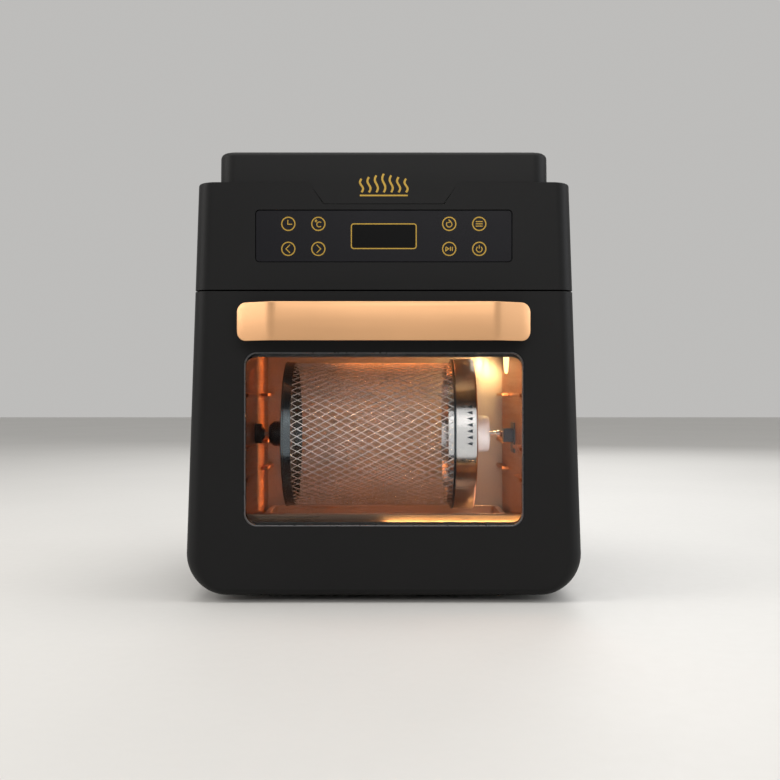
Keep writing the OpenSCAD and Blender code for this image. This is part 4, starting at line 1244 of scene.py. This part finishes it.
markBm = bmesh.new()
for i in range(lidMarks["count"]):
    angle = lidMarks["from"] + (lidMarks["to"] - lidMarks["from"]) * i / (lidMarks["count"] - 1)
    reach = math.degrees(1.7 / lidRadius)
    flat = ((-lidMarks["size"], 0), (lidMarks["size"], -reach), (lidMarks["size"], reach))
    rows = []
    for lift in (-0.02, 0.06):
        rows.append([onDrum(lidMarks["x"] + x, angle + turn, lidRadius + lift) for x, turn in flat])
    loftInto(markBm, rows)
makePiece("lidMarks", toMesh(markBm, "lidMarks"), "darkSteel", "basket_lid", edge=0)

# Drive socket, bored square for the drum's stub
s0, s1 = span("drive_socket")[0]
socketCorners = [(s0, 0), (s0, 9.5), (s1 - 2.5, 9.5), (s1 - 2.5, 6.2)]
socketCorners += [(s1 - 1.2, 6.2), (s1 - 1.2, 4.6), (s1, 4.6), (s1, 0)]
socketProfile = softProfile(socketCorners, [0, 0.5, 0.9, 0.3, 0.5, 0.2, 0.6, 0])
socketMesh = turnedMesh("driveSocket", socketProfile, "x", axisAt, 48)
socket = linkPiece("driveSocket", socketMesh, "darkPlastic", "drive_socket", ["drive_socket"])
boreHalf = stubHalf + 0.1
boreAcross = ((spinDepth - boreHalf, spinDepth + boreHalf), (spinZ - boreHalf, spinZ + boreHalf))
socketBore = blockMesh("cutter", (s0 + 5.5, s1 + 2), *boreAcross)
combine(socket, [socketBore])
roundEdges(socket, 0.25)
print("drum made")


# Drip tray

trayDesign = {"lip": 4, "height": 11, "sheet": 1, "roll": 1.7, "rollSheet": 0.9, "cornerRadius": 5}

traySpan = span("drip_tray")
trayX = traySpan[0][1] - trayDesign["lip"]
trayDepths = (traySpan[1][0] + trayDesign["lip"], traySpan[1][1] - trayDesign["lip"])
trayFoot = traySpan[2][0]
trayRim = trayFoot + trayDesign["height"]


def trayLoop(grow, z):
    width = 2 * (trayX + grow)
    length = trayDepths[1] - trayDepths[0] + 2 * grow
    radius = max(trayDesign["cornerRadius"] + grow, 1)
    return [(x, depth, z) for x, depth in roundedLoop(width, length, radius, 8, (0, middle(trayDepths)))]


sheet = trayDesign["sheet"]
lip = trayDesign["lip"]
trayRings = [trayLoop(-1.5, trayFoot), trayLoop(0, trayFoot + 1.5), trayLoop(0, trayRim - sheet)]
trayRings += [trayLoop(lip, trayRim - sheet), trayLoop(lip, trayRim), trayLoop(-sheet, trayRim)]
trayRings += [trayLoop(-sheet, trayFoot + 2.5), trayLoop(-2.5, trayFoot + sheet)]
trayMesh = loftMesh("dripTray", trayRings)
# the tray and its front plate carry the painted copper reflection
makePiece("dripTray", trayMesh, "traySteel", "housing", ["drip_tray"], edge=0.3)

# the tray's front plate, rolled over at its top
roll = trayDesign["roll"]
rollSheet = trayDesign["rollSheet"]
plateFront = traySpan[1][0]
rollCentre = (plateFront + roll, traySpan[2][1] - roll)
pullSide = arcPoints(rollCentre, roll, 180, -60, 16)
pullSide += arcPoints(rollCentre, roll - rollSheet, -60, 180, 12)
pullSide += [(plateFront + rollSheet, trayRim - 0.6), (plateFront, trayRim - 0.6)]
pullMesh = prismMesh("trayPull", pullSide, -trayX - lip, trayX + lip, "x")
makePiece("trayPull", pullMesh, "traySteel", "housing", edge=0)
print("tray made")


# Parts kept from the frame: each gets its finish and the width of its softened edges

carried = {
    "base_tray": ("darkPlastic", 0.5),
    "display_module": ("darkPlastic", 0.3),
    "control_board": ("boardGreen", 0.1),
    "power_board": ("boardGreen", 0.2),
    # the side walls take the steel with the painted orange glow
    "cavity_left_wall": ("warmSteel", 0.8),
    "cavity_right_wall": ("warmSteel", 0.8),
    "cavity_back_wall": ("cavitySteel", 0.2),
    "cavity_floor": ("cavitySteel", 0.2),
    "cavity_ceiling": ("cavitySteel", 0.2),
    "cavity_front_frame": ("cavitySteel", 0.3),
    "door_seal": ("siliconeGrey", 0.8),
    "insulation": ("insulationWool", 1.0),
    "exhaust_duct": ("zincSheet", 0.2),
    "heating_element": ("elementSteel", 0),
    "heater_shroud": ("zincSheet", 0.3),
    "fan_guard": ("cavitySteel", 0.3),
    "temperature_sensor": ("polishedSteel", 0.3),
    "thermal_cutout": ("ceramic", 0.3),
    "motor_bridge": ("zincSheet", 0.3),
    "motor_stator": ("zincSheet", 0.3),
    "motor_coil": ("copperWire", 0.5),
    "motor_brackets": ("zincSheet", 0.4),
    "motor_bushes": ("bronze", 0.2),
    "rotisserie_motor": ("zincSheet", 0.5),
    "shaft_cradle": ("darkSteel", 0.4),
    "lamp_holder": ("ceramic", 0.4),
    "lamp_bulb": ("bulbGlass", 0),
    "lamp_lens": ("lampGlass", 0.4),
    "switch_body": ("darkPlastic", 0.4),
    "door_magnets": ("zincSheet", 0.3),
    "hinge_brackets": ("zincSheet", 0.3),
    "door_inner_frame": ("zincSheet", 0.3),
    "handle_grip": ("darkPlastic", 0.8),
    "hinge_blocks": ("zincSheet", 0.4),
    "hinge_pins": ("polishedSteel", 0.3),
    "fan_rotor": ("polishedSteel", 0.2),
    "convection_fan": ("aluminium", 0.2),
    "cooling_fan": ("darkPlastic", 0.2),
    "switch_plunger": ("switchRed", 0.4),
}
for node, (finish, edge) in carried.items():
    part = frame["nodes"][node]
    part.data.materials.clear()
    part.data.materials.append(finishes[finish])
    if edge:
        weld = part.modifiers.new("weld", "WELD")
        weld.merge_threshold = 0.00001
        bevel = part.modifiers.new("softEdges", "BEVEL")
        bevel.width = edge * mm
        bevel.segments = 2
        bevel.limit_method = "ANGLE"
        bevel.angle_limit = math.radians(35)
        bevel.harden_normals = True
        part.modifiers.new("evenNormals", "WEIGHTED_NORMAL")
print("carried parts finished:", len(carried))


# Floor

floorColour = (0.62, 0.61, 0.59)
floorMaterial = finishMaterial("paleFloor", floorColour, 0.6, tint=0.02, patches=3, grain=90, bump=0.02)
floorMesh = bpy.data.meshes.new("floor")
floorBm = bmesh.new()
bmesh.ops.create_grid(floorBm, x_segments=8, y_segments=8, size=6)
floorBm.to_mesh(floorMesh)
floorBm.free()
floor = bpy.data.objects.new("floor", floorMesh)
floor.data.materials.append(floorMaterial)
scene.collection.objects.link(floor)
floor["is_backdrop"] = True

low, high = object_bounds()
